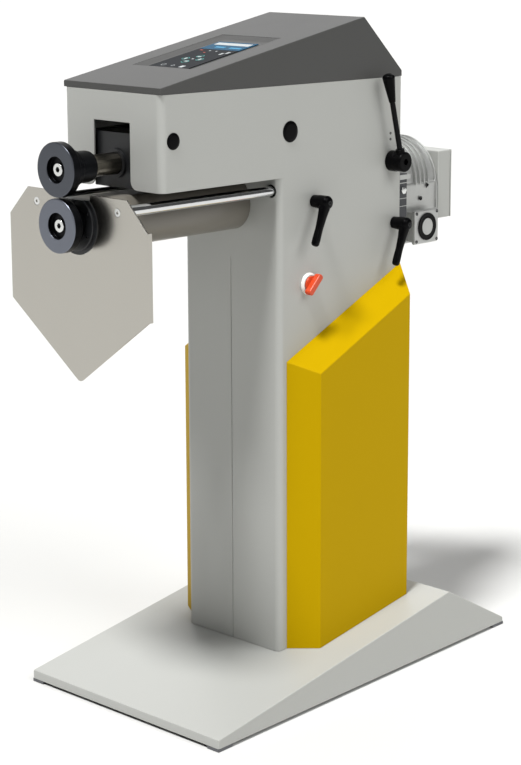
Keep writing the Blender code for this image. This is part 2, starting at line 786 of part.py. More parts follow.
def housing_cutters():
    slot_edge = SLOT_HALF_WIDTH + SLOT_CORNER
    lead = arc((slot_edge, HEAD_BOTTOM_Z + SLOT_CORNER), SLOT_CORNER, 270, 180, BEND_STEPS)
    right = [(slot_edge, HEAD_BOTTOM_Z - OVERRUN), *lead, (SLOT_HALF_WIDTH, SLOT_TOP_Z)]
    outline = right + [(-x, z) for x, z in reversed(right)]
    depth = SHEET + OVERRUN * 2
    slot = plate("slot_cutter", "XZ", outline, HEAD_FRONT_Y - OVERRUN, depth, None)
    slot = to_mesh(slot)
    bm = bmesh.new()
    start = COLUMN_FRONT_Y - OVERRUN
    add_round(bm, "Y", (0, start, LOWER_AXIS_Z), depth, ARM_RADIUS + GAP, GEARBOX_STEPS)
    for side in (-1, 1):
        hole = (side * GUIDE_X, start, GUIDE_Z)
        add_round(bm, "Y", hole, BEND_RADIUS + OVERRUN, GUIDE_HOLE_RADIUS, PLUG_STEPS)
    front_holes = mesh_piece("front_hole_cutter", bm, None)
    bm = bmesh.new()
    wide = BODY_WIDTH + OVERRUN * 2
    left = -BODY_HALF - OVERRUN
    plug = (left, HEAD_FRONT_Y + PLUG_BEHIND, PLUG_Z)
    add_round(bm, "X", plug, wide, PLUG_RADIUS - PLUG_STEM_INSET + GAP, PLUG_STEPS)
    pivot = (left, PIVOT_Y, PIVOT_Z)
    add_round(bm, "X", pivot, wide, CAP_RADIUS - PLUG_STEM_INSET + GAP, PLUG_STEPS)
    lever = (left, LEVER_SHAFT_Y, LEVER_SHAFT_Z)
    add_round(bm, "X", lever, wide, LEVER_SHAFT_RADIUS + GAP * 2, PLUG_STEPS)
    both = mesh_piece("side_hole_cutter", bm, None)
    bm = bmesh.new()
    start_x = BODY_HALF - SHEET - OVERRUN
    for y, z in ((CLAMP_FRONT_Y, CLAMP_FRONT_Z), (CLAMP_REAR_Y, CLAMP_REAR_Z)):
        add_round(bm, "X", (start_x, y, z), depth, CLAMP_STUD_RADIUS + GAP * 2, PLUG_STEPS)
    add_round(bm, "X", (start_x, SWITCH_Y, SWITCH_Z), depth, SWITCH_STEM_RADIUS + GAP, PLUG_STEPS)
    one = mesh_piece("lever_hole_cutter", bm, None)
    return (both, one), slot, front_holes


def rear_panel():
    bottom = base_top(BODY_BACK_Y) + PANEL_BOTTOM_RISE
    top = BODY_TOP_Z - PANEL_TOP_DROP
    half = BODY_HALF - PANEL_INSET
    outline = [(-half, bottom), (half, bottom), (half, top), (-half, top)]
    hole = arc((0, LOWER_AXIS_Z), SHAFT_RADIUS + SHAFT_COLLAR, 0, 360, PLUG_STEPS)[:-1]
    plate("rear_panel", "XZ", outline, BODY_BACK_Y + GAP, PANEL_SHEET, grey_paint(), [hole])


def top_cover():
    start = BODY_TOP_Z + COVER_SEAT
    lip = start + COVER_LIP
    peak_y = COLUMN_FRONT_Y + PEAK_BEHIND
    outline = [(HEAD_FRONT_Y, start), (HEAD_FRONT_Y, lip), (peak_y, PEAK_Z)]
    outline += [(BODY_BACK_Y, lip), (BODY_BACK_Y, start)]
    cover = folded_lid("top_cover", outline, BODY_HALF, dark_paint())
    round_edges(cover, COVER_EDGE, 2, 15)
    thicken(cover, COVER_SHEET)
    slope = math.atan2(PEAK_Z - lip, peak_y - HEAD_FRONT_Y)
    on_slope = Matrix.Translation((0, HEAD_FRONT_Y, lip)) @ Matrix.Rotation(slope, 4, "X")
    half = RECESS_WIDTH / 2
    end = RECESS_START + RECESS_LENGTH
    window = box("recess_cutter", (-half, RECESS_START, -OVERRUN), (half, end, OVERRUN), None)
    window.matrix_world = on_slope
    cut(cover, window)
    inset = GAP + TRAY_SHEET / 2
    rim = half - inset
    floor = rim - RECESS_SLOPE
    first = RECESS_START + inset
    last = end - inset
    near = first + RECESS_SLOPE
    far = last - RECESS_SLOPE
    bm = bmesh.new()
    outer = [(-rim, first), (rim, first), (rim, last), (-rim, last)]
    inner = [(-floor, near), (floor, near), (floor, far), (-floor, far)]
    high = [bm.verts.new((x, y, 0)) for x, y in outer]
    low = [bm.verts.new((x, y, -RECESS_DEPTH)) for x, y in inner]
    for i in range(4):
        bm.faces.new((high[i], high[(i + 1) % 4], low[(i + 1) % 4], low[i]))
    bm.faces.new(low)
    tray = mesh_piece("panel_tray", bm, dark_paint())
    tray.matrix_world = on_slope
    thicken(tray, TRAY_SHEET)
    seat = GAP - RECESS_DEPTH
    wide = KEYPAD_WIDTH / 2
    split = KEYPAD_START + KEYPAD_LENGTH
    top = seat + PANEL_THICKNESS
    keypad = box("control_keypad", (-wide, KEYPAD_START, seat), (wide, split, top), black_plastic())
    screen_end = split + GAP + DISPLAY_LENGTH
    blue = look("display_window", (0.05, 0.2, 0.35), 0.15, 0)
    screen = box("control_display", (-wide, split + GAP, seat), (wide, screen_end, top), blue)
    for piece in (keypad, screen):
        piece.matrix_world = on_slope
        round_edges(piece, PANEL_EDGE, 1)


def side_covers():
    front = COLUMN_FRONT_Y + COVER_FRONT_AHEAD
    wall = BODY_HALF + GAP
    out = wall + COVER_OUT
    plan = [(wall, front), (out, front + COVER_FRONT_CHAMFER)]
    plan += [(out, BODY_BACK_Y - COVER_BACK_CHAMFER), (wall, BODY_BACK_Y)]
    bm = bmesh.new()
    low = []
    high = []
    for x, y in plan:
        top = COVER_FRONT_Z + COVER_RISE_SHARE * (y - front) - COVER_DROP_SHARE * (x - wall)
        low.append(bm.verts.new((x, y, clear_of_base(y, COVER_WALL))))
        high.append(bm.verts.new((x, y, top)))
    for i in range(3):
        bm.faces.new((low[i], low[i + 1], high[i + 1], high[i]))
    bm.faces.new(high)
    cover = mesh_piece("side_cover_right", bm, yellow_paint())
    round_edges(cover, COVER_ROUND, 2, 15)
    thicken(cover, COVER_WALL)
    low_corner = (0, front - COVER_OUT, -OVERRUN)
    trim = box("cover_trim_cutter", low_corner, (wall, BODY_BACK_Y + COVER_OUT, BODY_TOP_Z), None)
    twin(to_mesh(cut(cover, trim)), "side_cover_left")


def gear_outline(phase):
    """Involute teeth: each flank unrolls from the base circle, thinned for backlash."""
    pitch = ROLL_SPACING / 2
    base_circle = pitch * math.cos(PRESSURE_ANGLE)
    tip = GEAR_TIP_RADIUS
    root = pitch - DEDENDUM_SHARE * GEAR_MODULE
    half_tooth = math.pi / (2 * GEAR_TEETH) - TOOTH_THINNING / (2 * pitch)
    turn = math.tan(PRESSURE_ANGLE) - PRESSURE_ANGLE
    flank = []
    for k in range(FLANK_STEPS + 1):
        radius = base_circle + (tip - base_circle) * k / FLANK_STEPS
        pressure = math.acos(base_circle / radius)
        flank.append((radius, half_tooth + turn - (math.tan(pressure) - pressure)))
    side = [(root, flank[0][1]), *flank]
    outline = []
    for tooth in range(GEAR_TEETH):
        center = phase + 2 * math.pi * tooth / GEAR_TEETH
        around = [(r, center - a) for r, a in side] + [(r, center + a) for r, a in reversed(side)]
        outline += [(r * math.cos(a), r * math.sin(a)) for r, a in around]
    return outline


def spur_gear(name, axis_z, phase):
    outline = [(x, z + axis_z) for x, z in gear_outline(phase)]
    bore = arc((0, axis_z), SHAFT_RADIUS + GAP, 0, 360, BEARING_STEPS)[:-1]
    return plate(name, "XZ", outline, GEAR_FRONT_Y, GEAR_WIDTH, bright_steel(), [bore])


def roll(name, axis_z, hub):
    """A flange roll: a disc with a recess and a web for its screw, then a hub of (length, radius) steps."""
    bore = SHAFT_RADIUS + GAP
    shank = SCREW_SHANK_RADIUS + GAP
    outside = [(0, ROLL_RECESS_RADIUS), (0, ROLL_RADIUS - ROLL_RIM), (ROLL_RIM, ROLL_RADIUS)]
    outside += [(ROLL_DISC - ROLL_RIM, ROLL_RADIUS), (ROLL_DISC, ROLL_RADIUS - ROLL_RIM)]
    along = ROLL_DISC
    for length, radius in hub:
        outside += [(along, radius), (along + length - HUB_EDGE, radius)]
        along += length
        outside.append((along, radius - HUB_EDGE))
    seat = ROLL_RECESS + ROLL_WEB
    inside = [(along, bore), (seat, bore), (seat, shank), (ROLL_RECESS + SCREW_HEAD_DEPTH, shank)]
    inside += [(ROLL_RECESS, SCREW_HEAD_RADIUS + GAP), (ROLL_RECESS, ROLL_RECESS_RADIUS)]
    return turned(name, "Y", (0, ROLL_FRONT_Y, axis_z), outside, black_steel(), inside)


def roll_screw(name, axis_z):
    """The countersunk screw that pulls a roll onto the end of its shaft."""
    front = ROLL_FRONT_Y + ROLL_RECESS
    shank = SCREW_SHANK_RADIUS
    body = [(0, 0), (0, SCREW_HEAD_RADIUS), (SCREW_HEAD_DEPTH, shank)]
    body += [(SCREW_LENGTH, shank), (SCREW_LENGTH, 0)]
    screw = turned(name, "Y", (0, front, axis_z), body, zinc(), None, BEARING_STEPS)
    start = (0, front - OVERRUN, axis_z)
    socket = rounds(name + "_socket_cutter", "Y", [start], OVERRUN + SOCKET_DEPTH, SOCKET_RADIUS, 6, None)
    return cut(screw, socket)


def shaft(name, axis_z, collar_y, rear_y):
    """A drive shaft with a tapped front end, a collar behind the roll and a chamfered rear end."""
    tap = SCREW_SHANK_RADIUS + GAP
    depth = SCREW_LENGTH - ROLL_WEB + OVERRUN
    front = collar_y - SHAFT_FRONT_Y
    rear = rear_y - SHAFT_FRONT_Y
    ring = SHAFT_RADIUS + SHAFT_COLLAR
    profile = [(depth, 0), (depth, tap), (0, tap), (0, SHAFT_RADIUS), (front, SHAFT_RADIUS), (front, ring)]
    profile += [(front + COLLAR_LENGTH, ring), (front + COLLAR_LENGTH, SHAFT_RADIUS)]
    profile += [(rear - HUB_EDGE, SHAFT_RADIUS), (rear, SHAFT_RADIUS - HUB_EDGE), (rear, 0)]
    return turned(name, "Y", (0, SHAFT_FRONT_Y, axis_z), profile, bright_steel())


def bearing(name, axis_z, y):
    outside = [(0, SHAFT_RADIUS + GAP), (0, BEARING_RADIUS), (BEARING_WIDTH, BEARING_RADIUS)]
    inside = [(BEARING_WIDTH, SHAFT_RADIUS + GAP)]
    return turned(name, "Y", (0, y, axis_z), outside, bright_steel(), inside, BEARING_STEPS)


def lower_drive():
    hub_end = ROLL_FRONT_Y + ROLL_DISC + LOWER_HUB_LENGTH
    pieces = [
        roll("lower_roll", LOWER_AXIS_Z, [(LOWER_HUB_LENGTH, LOWER_HUB_RADIUS)]),
        roll_screw("lower_roll_screw", LOWER_AXIS_Z),
        shaft("lower_shaft", LOWER_AXIS_Z, hub_end + GAP, SHAFT_REAR_Y),
        spur_gear("lower_gear", LOWER_AXIS_Z, math.pi / 2),
    ]
    ride("lower_drive_axis", (0, ROLL_FRONT_Y, LOWER_AXIS_Z), pieces)


def lower_arm():
    """The round arm that carries the lower shaft: flat on top below the pass line, flanged in the column."""
    length = COLUMN_FRONT_Y + SHEET + GAP - ARM_FRONT_Y
    seat = BEARING_RADIUS + GAP
    outside = [(0, seat), (0, ARM_RADIUS - HUB_EDGE), (HUB_EDGE, ARM_RADIUS), (length, ARM_RADIUS)]
    outside += [(length, ARM_FLANGE_RADIUS), (length + ARM_FLANGE, ARM_FLANGE_RADIUS)]
    floor = BEARING_WIDTH + GAP * 2
    inside = [(length + ARM_FLANGE, ARM_BORE), (floor, ARM_BORE), (floor, seat)]
    place = (0, ARM_FRONT_Y, LOWER_AXIS_Z)
    arm = turned("lower_arm", "Y", place, outside, grey_paint(), inside, GEARBOX_STEPS)
    hole = SHAFT_RADIUS + SHAFT_COLLAR + GAP
    front = ARM_FRONT_Y - GAP - ARM_CAP
    ring = [(0, hole), (0, ARM_CAP_RADIUS - HUB_EDGE), (HUB_EDGE, ARM_CAP_RADIUS), (ARM_CAP, ARM_CAP_RADIUS)]
    cap = turned("arm_bearing_cap", "Y", (0, front, LOWER_AXIS_Z), ring, dark_casting(), [(ARM_CAP, hole)])
    top = LOWER_AXIS_Z + ARM_FLAT_ABOVE
    low = (-ARM_FLANGE_RADIUS, front - OVERRUN, top)
    high = (ARM_FLANGE_RADIUS, COLUMN_FRONT_Y + SHEET + GAP, top + ARM_FLANGE_RADIUS)
    for piece, label in ((arm, "arm_flat_cutter"), (cap, "cap_flat_cutter")):
        cut(piece, box(label, low, high, None))
    low = (-WALL_X + GAP, BULKHEAD_Y, LOWER_AXIS_Z - BULKHEAD_BELOW)
    high = (WALL_X - GAP, BULKHEAD_Y + BULKHEAD, GUIDE_Z + BULKHEAD_ABOVE)
    bulkhead = box("bearing_bulkhead", low, high, dark_casting())
    bm = bmesh.new()
    start = BULKHEAD_Y - OVERRUN
    through = BULKHEAD + OVERRUN * 2
    add_round(bm, "Y", (0, start, LOWER_AXIS_Z), through, BEARING_RADIUS + GAP, BEARING_STEPS)
    for side in (-1, 1):
        add_round(bm, "Y", (side * GUIDE_X, start, GUIDE_Z), through, GUIDE_RADIUS + GAP * 2, PLUG_STEPS)
    cut(bulkhead, mesh_piece("bulkhead_cutter", bm, None))
    rear = BULKHEAD_Y + (BULKHEAD - BEARING_WIDTH) / 2
    bearing("arm_bearing", LOWER_AXIS_Z, ARM_FRONT_Y + GAP)
    bearing("bulkhead_bearing", LOWER_AXIS_Z, rear)


def rocker():
    """The rocker: two side plates on pivot pins, blocks for the spindle's bearings and a tail fork."""
    tail_y = ROCKER_TAIL_Y
    outline = [
        (ROCKER_FRONT_Y, ROCKER_BOTTOM_Z),
        (REAR_BLOCK_Y + REAR_BLOCK_LENGTH, ROCKER_BOTTOM_Z),
        (tail_y - TAIL_BLOCK_LENGTH, ROCKER_TAIL_BOTTOM_Z),
        (tail_y, ROCKER_TAIL_BOTTOM_Z),
        (tail_y, ROCKER_TAIL_TOP_Z),
        (PIVOT_Y, ROCKER_PIVOT_TOP_Z),
        (ROCKER_FRONT_Y, ROCKER_TOP_Z),
    ]
    hole = arc((PIVOT_Y, PIVOT_Z), PIVOT_PIN_RADIUS + GAP, 0, 360, PLUG_STEPS)[:-1]
    pieces = []
    for side, name in ((-1, "rocker_plate_left"), (1, "rocker_plate_right")):
        start = side * (ROCKER_INNER_HALF + ROCKER_PLATE / 2) - ROCKER_PLATE / 2
        pieces.append(plate(name, "YZ", outline, start, ROCKER_PLATE, black_paint(), [hole]))
    inner = ROCKER_INNER_HALF - GAP
    back = ROCKER_FRONT_Y + FRONT_BLOCK_LENGTH
    low = (-inner, ROCKER_FRONT_Y, ROCKER_BOTTOM_Z)
    front_block = box("spindle_front_block", low, (inner, back, ROCKER_TOP_Z), black_paint())
    nose_start = (0, ROCKER_FRONT_Y - NOSE_LENGTH, UPPER_AXIS_Z)
    nose = rounds("nose_joiner", "Y", [nose_start], NOSE_LENGTH * 2, NOSE_RADIUS, TURN_STEPS, None)
    low = (-inner, ROCKER_FRONT_Y, HEAD_BOTTOM_Z - APRON_DROP)
    high = (inner, ROCKER_FRONT_Y + FRONT_BLOCK_WALL, ROCKER_BOTTOM_Z + OVERRUN)
    join(front_block, nose, box("apron_joiner", low, high, None))
    bm = bmesh.new()
    running = SHAFT_RADIUS + GAP * 2
    seat_y = ROCKER_FRONT_Y + FRONT_BLOCK_WALL
    hole_start = (0, ROCKER_FRONT_Y - NOSE_LENGTH - OVERRUN, UPPER_AXIS_Z)
    add_round(bm, "Y", hole_start, FRONT_BLOCK_WALL + NOSE_LENGTH + OVERRUN * 2, running, TURN_STEPS)
    bore = mesh_piece("front_bore_cutter", bm, None)
    depth = back + OVERRUN - seat_y
    seat_radius = BEARING_RADIUS + GAP
    start = (0, seat_y, UPPER_AXIS_Z)
    seat = rounds("front_seat_cutter", "Y", [start], depth, seat_radius, BEARING_STEPS, None)
    cut(front_block, bore, seat)
    low = (-inner, REAR_BLOCK_Y, ROCKER_BOTTOM_Z)
    high = (inner, REAR_BLOCK_Y + REAR_BLOCK_LENGTH, REAR_BLOCK_TOP_Z)
    rear_block = box("spindle_rear_block", low, high, black_paint())
    start = (0, REAR_BLOCK_Y - OVERRUN, UPPER_AXIS_Z)
    through = REAR_BLOCK_LENGTH + OVERRUN * 2
    cut(rear_block, rounds("rear_seat_cutter", "Y", [start], through, seat_radius, BEARING_STEPS, None))
    rear_ring = REAR_BLOCK_Y + (REAR_BLOCK_LENGTH - BEARING_WIDTH) / 2
    pieces.append(bearing("spindle_front_bearing", UPPER_AXIS_Z, seat_y + GAP))
    pieces.append(bearing("spindle_rear_bearing", UPPER_AXIS_Z, rear_ring))
    pieces += [front_block, rear_block, tail_block(inner, tail_y)]
    ride("rocker_pivot_axis", (0, PIVOT_Y, PIVOT_Z), pieces)


def tail_block(inner, tail_y):
    """The cross block at the rocker's tail, with a fork whose slot rides on the eccentric."""
    low = (-inner, tail_y - TAIL_BLOCK_LENGTH, TAIL_BLOCK_BOTTOM_Z)
    block = box("rocker_tail_block", low, (inner, tail_y, ROCKER_TAIL_TOP_Z), black_paint())
    center_y = LEVER_SHAFT_Y + ECCENTRIC_OFFSET * math.cos(ECCENTRIC_ANGLE)
    center_z = LEVER_SHAFT_Z + ECCENTRIC_OFFSET * math.sin(ECCENTRIC_ANGLE)
    height = LEVER_SHAFT_RADIUS + ECCENTRIC_PLAY
    ends = ECCENTRIC_SLIDE
    reach = ends + height + FORK_WALL
    low = (-TAIL_FORK_HALF, center_y - reach, center_z - height - FORK_WALL)
    high = (TAIL_FORK_HALF, center_y + reach, TAIL_BLOCK_BOTTOM_Z + OVERRUN)
    join(block, box("fork_joiner", low, high, None))
    slot = arc((center_y + ends, center_z), height, -90, 90, ARC_STEPS)
    slot += arc((center_y - ends, center_z), height, 90, 270, ARC_STEPS)
    wide = TAIL_FORK_HALF * 2 + OVERRUN * 2
    cut(block, to_mesh(plate("fork_slot_cutter", "YZ", slot, -wide / 2, wide, None)))
    return block


def upper_spindle():
    hub = [(UPPER_HUB_LENGTH, UPPER_HUB_RADIUS), (UPPER_NECK_LENGTH, UPPER_NECK_RADIUS)]
    hub_end = ROLL_FRONT_Y + ROLL_DISC + UPPER_HUB_LENGTH + UPPER_NECK_LENGTH
    rear = REAR_BLOCK_Y + REAR_BLOCK_LENGTH
    pieces = [
        roll("upper_roll", UPPER_AXIS_Z, hub),
        roll_screw("upper_roll_screw", UPPER_AXIS_Z),
        shaft("upper_spindle", UPPER_AXIS_Z, hub_end + GAP, rear),
        spur_gear("upper_gear", UPPER_AXIS_Z, -math.pi / 2 + math.pi / GEAR_TEETH),
    ]
    ride("upper_spindle_axis", (0, ROLL_FRONT_Y, UPPER_AXIS_Z), pieces)


def pivots_and_plugs():
    start = ROCKER_INNER_HALF + GAP
    reach = WALL_X - GAP - start
    neck = reach - PIVOT_FLANGE
    profile = [(0, 0), (0, PIVOT_PIN_RADIUS), (neck, PIVOT_PIN_RADIUS), (neck, PIVOT_FLANGE_RADIUS)]
    profile += [(reach, PIVOT_FLANGE_RADIUS), (reach, 0)]
    for side, axis, name in ((-1, "-X", "pivot_pin_left"), (1, "X", "pivot_pin_right")):
        turned(name, axis, (side * start, PIVOT_Y, PIVOT_Z), profile, bright_steel(), None, PLUG_STEPS)
    wall_plugs = (
        ("head_plug", HEAD_FRONT_Y + PLUG_BEHIND, PLUG_Z, PLUG_RADIUS),
        ("pivot_cap", PIVOT_Y, PIVOT_Z, CAP_RADIUS),
    )
    stem = GAP + PLUG_HEAD / 2 + SHEET - GAP
    for kind, y, z, radius in wall_plugs:
        for side, axis, hand in ((-1, "-X", "left"), (1, "X", "right")):
            name = kind + "_" + hand
            face = (side * (BODY_HALF + GAP), y, z)
            inside = (side * (WALL_X + GAP), y, z)
            slope = radius - PLUG_HEAD / 2
            plug = rounds(name, axis, [face], PLUG_HEAD, radius, PLUG_STEPS, black_plastic(), slope)
            neck = radius - PLUG_STEM_INSET
            join(plug, rounds(name + "_stem_joiner", axis, [inside], stem, neck, PLUG_STEPS, None))


def eccentric_lever():
    """The long lever: a cross shaft with an eccentric middle, a hub, a rod and a tapered grip."""
    center = (LEVER_SHAFT_Y, LEVER_SHAFT_Z)
    outer = BODY_HALF + GAP
    left = -BODY_HALF + GAP
    journal = ECCENTRIC_HALF
    starts = [(left, *center), (journal, *center)]
    bm = bmesh.new()
    add_round(bm, "X", starts[0], -journal - left, LEVER_SHAFT_RADIUS, BEARING_STEPS)
    right = outer + LEVER_HUB_LENGTH / 2 - journal
    add_round(bm, "X", starts[1], right, LEVER_SHAFT_RADIUS, BEARING_STEPS)
    cross = mesh_piece("eccentric_shaft", bm, bright_steel())
    y = LEVER_SHAFT_Y + ECCENTRIC_OFFSET * math.cos(ECCENTRIC_ANGLE)
    z = LEVER_SHAFT_Z + ECCENTRIC_OFFSET * math.sin(ECCENTRIC_ANGLE)
    reach = journal + OVERRUN
    place = (-reach, y, z)
    radius = LEVER_SHAFT_RADIUS
    join(cross, rounds("eccentric_joiner", "X", [place], reach * 2, radius, BEARING_STEPS, None))
    edge = LEVER_HUB_LENGTH - LEVER_HUB_EDGE
    floor = LEVER_HUB_LENGTH - LEVER_SOCKET_DEPTH
    deep = LEVER_HUB_LENGTH / 2 + GAP
    bore = LEVER_SHAFT_RADIUS + GAP
    profile = [(deep, 0), (deep, bore), (0, bore), (0, LEVER_HUB_RADIUS), (edge, LEVER_HUB_RADIUS)]
    profile += [(LEVER_HUB_LENGTH, LEVER_HUB_RADIUS - LEVER_HUB_EDGE)]
    profile += [(LEVER_HUB_LENGTH, LEVER_SOCKET_RADIUS), (floor, LEVER_SOCKET_RADIUS), (floor, 0)]
    hub = turned("lever_hub", "X", (outer, *center), profile, black_plastic(), None, BEARING_STEPS)
    lean = Vector((0, -math.sin(LEVER_LEAN), math.cos(LEVER_LEAN)))
    root = Vector((outer + LEVER_ARM_OUT, *center))
    start = root + lean * (LEVER_HUB_RADIUS + GAP)
    thick = [LEVER_ROD_RADIUS] * 2
    rod = tapered_bar("lever_rod", [start, root + lean * LEVER_ROD_END], thick, black_paint(), ROD_ROUNDNESS)
    grip_length = LEVER_GRIP_END - LEVER_GRIP_START
    grip_points = [root + lean * (LEVER_GRIP_START + grip_length * share) for share in GRIP_PLACE_SHARES]
    foot = LEVER_GRIP_FOOT_RADIUS
    top = LEVER_GRIP_TOP_RADIUS
    grip_radii = [foot * GRIP_FOOT_SHARE, foot, top, top * GRIP_TOP_SHARE]
    grip = tapered_bar("lever_grip", grip_points, grip_radii, black_plastic(), ROD_ROUNDNESS)
    socket_points = [root + lean * (LEVER_GRIP_START - OVERRUN), root + lean * (LEVER_ROD_END + GAP)]
    wide = [LEVER_ROD_RADIUS + GAP] * 2
    cut(grip, tapered_bar("grip_socket_cutter", socket_points, wide, None, ROD_ROUNDNESS))
    ride("eccentric_lever_axis", (outer, *center), [cross, hub, rod, grip])


def clamp_lever(name, y, z):
    """A clamping lever: a domed hub on a stud, with a tapered handle that hangs forward."""
    outer = BODY_HALF + GAP
    shoulder, crown = (CLAMP_HUB_RADIUS * share for share in CLAMP_DOME_SHARES)
    end = CLAMP_HUB_LENGTH + CLAMP_HUB_DOME
    body = [(0, 0), (0, CLAMP_HUB_RADIUS), (CLAMP_HUB_LENGTH, CLAMP_HUB_RADIUS)]
    body += [(CLAMP_HUB_LENGTH + CLAMP_HUB_DOME / 2, shoulder), (end, crown), (end, 0)]
    hub = turned(name, "X", (outer, y, z), body, black_plastic(), None, PLUG_STEPS)
    hang = Vector((0, -math.sin(CLAMP_LEAN), -math.cos(CLAMP_LEAN)))
    root = Vector((outer + CLAMP_HUB_LENGTH - CLAMP_HANDLE_ROOT / 2, y, z))
    away = Vector((CLAMP_HANDLE_OUT, 0, 0))
    points = [root + hang * CLAMP_HANDLE_LENGTH * share + away * share for share in CLAMP_HANDLE_SHARES]
    radii = [CLAMP_HANDLE_ROOT, (CLAMP_HANDLE_ROOT + CLAMP_HANDLE_NECK) / 2, CLAMP_HANDLE_NECK]
    radii += [CLAMP_HANDLE_END, CLAMP_HANDLE_END * CLAMP_TIP_SHARE]
    join(hub, tapered_bar(name + "_handle_joiner", points, radii, None))
    start = WALL_X - CLAMP_STUD_DEPTH
    length = outer + CLAMP_HUB_DOME - start
    place = (start, y, z)
    join(hub, rounds(name + "_stud_joiner", "X", [place], length, CLAMP_STUD_RADIUS, PLUG_STEPS, None))
    ride(name + "_axis", (outer, y, z), [hub])


def clamp_blocks():
    """Blocks inside the wall that the clamp studs screw into; the front pair also guides the rods."""
    inner = WALL_X - GAP
    low_z = GUIDE_Z - GUIDE_BLOCK_BELOW
    high_z = GUIDE_Z + GUIDE_BLOCK_ABOVE
    start_y = BULKHEAD_Y + BULKHEAD + GAP
    stud_hole = CLAMP_STUD_RADIUS + GAP * 2
    bore = GUIDE_BLOCK_LENGTH + OVERRUN * 2
    start = WALL_X - CLAMP_STUD_DEPTH - OVERRUN
    depth = CLAMP_STUD_DEPTH + OVERRUN * 2
    for side, name in ((-1, "rod_guide_left"), (1, "rod_guide_right")):
        near = side * inner
        far = side * (inner - GUIDE_BLOCK_X)
        low = (min(near, far), start_y, low_z)
        block = box(name, low, (max(near, far), start_y + GUIDE_BLOCK_LENGTH, high_z), cast_aluminium())
        place = (side * GUIDE_X, start_y - OVERRUN, GUIDE_Z)
        cut(block, rounds(name + "_cutter", "Y", [place], bore, GUIDE_RADIUS + GAP, PLUG_STEPS, None))
        if side > 0:
            place = (start, CLAMP_FRONT_Y, CLAMP_FRONT_Z)
            cut(block, rounds("front_stud_cutter", "X", [place], depth, stud_hole, PLUG_STEPS, None))
    half_y = CLAMP_BLOCK_LENGTH / 2
    half_z = CLAMP_BLOCK_HEIGHT / 2
    middle_y = BODY_BACK_Y - SHEET - BACK_BEND_RADIUS - half_y
    low = (inner - CLAMP_BLOCK_X, middle_y - half_y, CLAMP_REAR_Z - half_z)
    block = box("rear_clamp_block", low, (inner, middle_y + half_y, CLAMP_REAR_Z + half_z), cast_aluminium())
    place = (start, CLAMP_REAR_Y, CLAMP_REAR_Z)
    cut(block, rounds("rear_stud_cutter", "X", [place], depth, stud_hole, PLUG_STEPS, None))


def main_switch():
    outer = BODY_HALF + GAP
    center = (SWITCH_Y, SWITCH_Z)
    start = outer - SHEET - SWITCH_STEM_LENGTH
    stem = SWITCH_STEM_LENGTH + SHEET
    profile = [(0, 0), (0, SWITCH_STEM_RADIUS), (stem, SWITCH_STEM_RADIUS), (stem, SWITCH_BEZEL_RADIUS)]
    rim = SWITCH_BEZEL_RADIUS - KNOB_EDGE
    end = stem + SWITCH_BEZEL
    profile += [(end - KNOB_EDGE, SWITCH_BEZEL_RADIUS), (end, rim), (end, 0)]
    white = look("white_plastic", (0.8, 0.8, 0.78), 0.4, 0)
    turned("switch_bezel", "X", (start, *center), profile, white, None, PLUG_STEPS)
    face = outer + SWITCH_BEZEL + GAP
    orange = look("orange_plastic", (0.75, 0.12, 0.03), 0.35, 0)
    knob = rounds("switch_knob", "X", [(face, *center)], KNOB_BASE, KNOB_RADIUS, PLUG_STEPS, orange)
    bm = bmesh.new()
    half = KNOB_WIDTH / 2
    long = KNOB_LENGTH / 2
    add_box(bm, (KNOB_BASE / 2, -half, -long), (KNOB_HEIGHT, half, long))
    paddle = mesh_piece("paddle_joiner", bm, None)
    paddle.matrix_world = Matrix.Translation((face, *center)) @ Matrix.Rotation(-KNOB_LEAN, 4, "X")
    round_edges(paddle, KNOB_EDGE, 2)
    join(knob, paddle)
    ride("switch_axis", (face, *center), [knob])


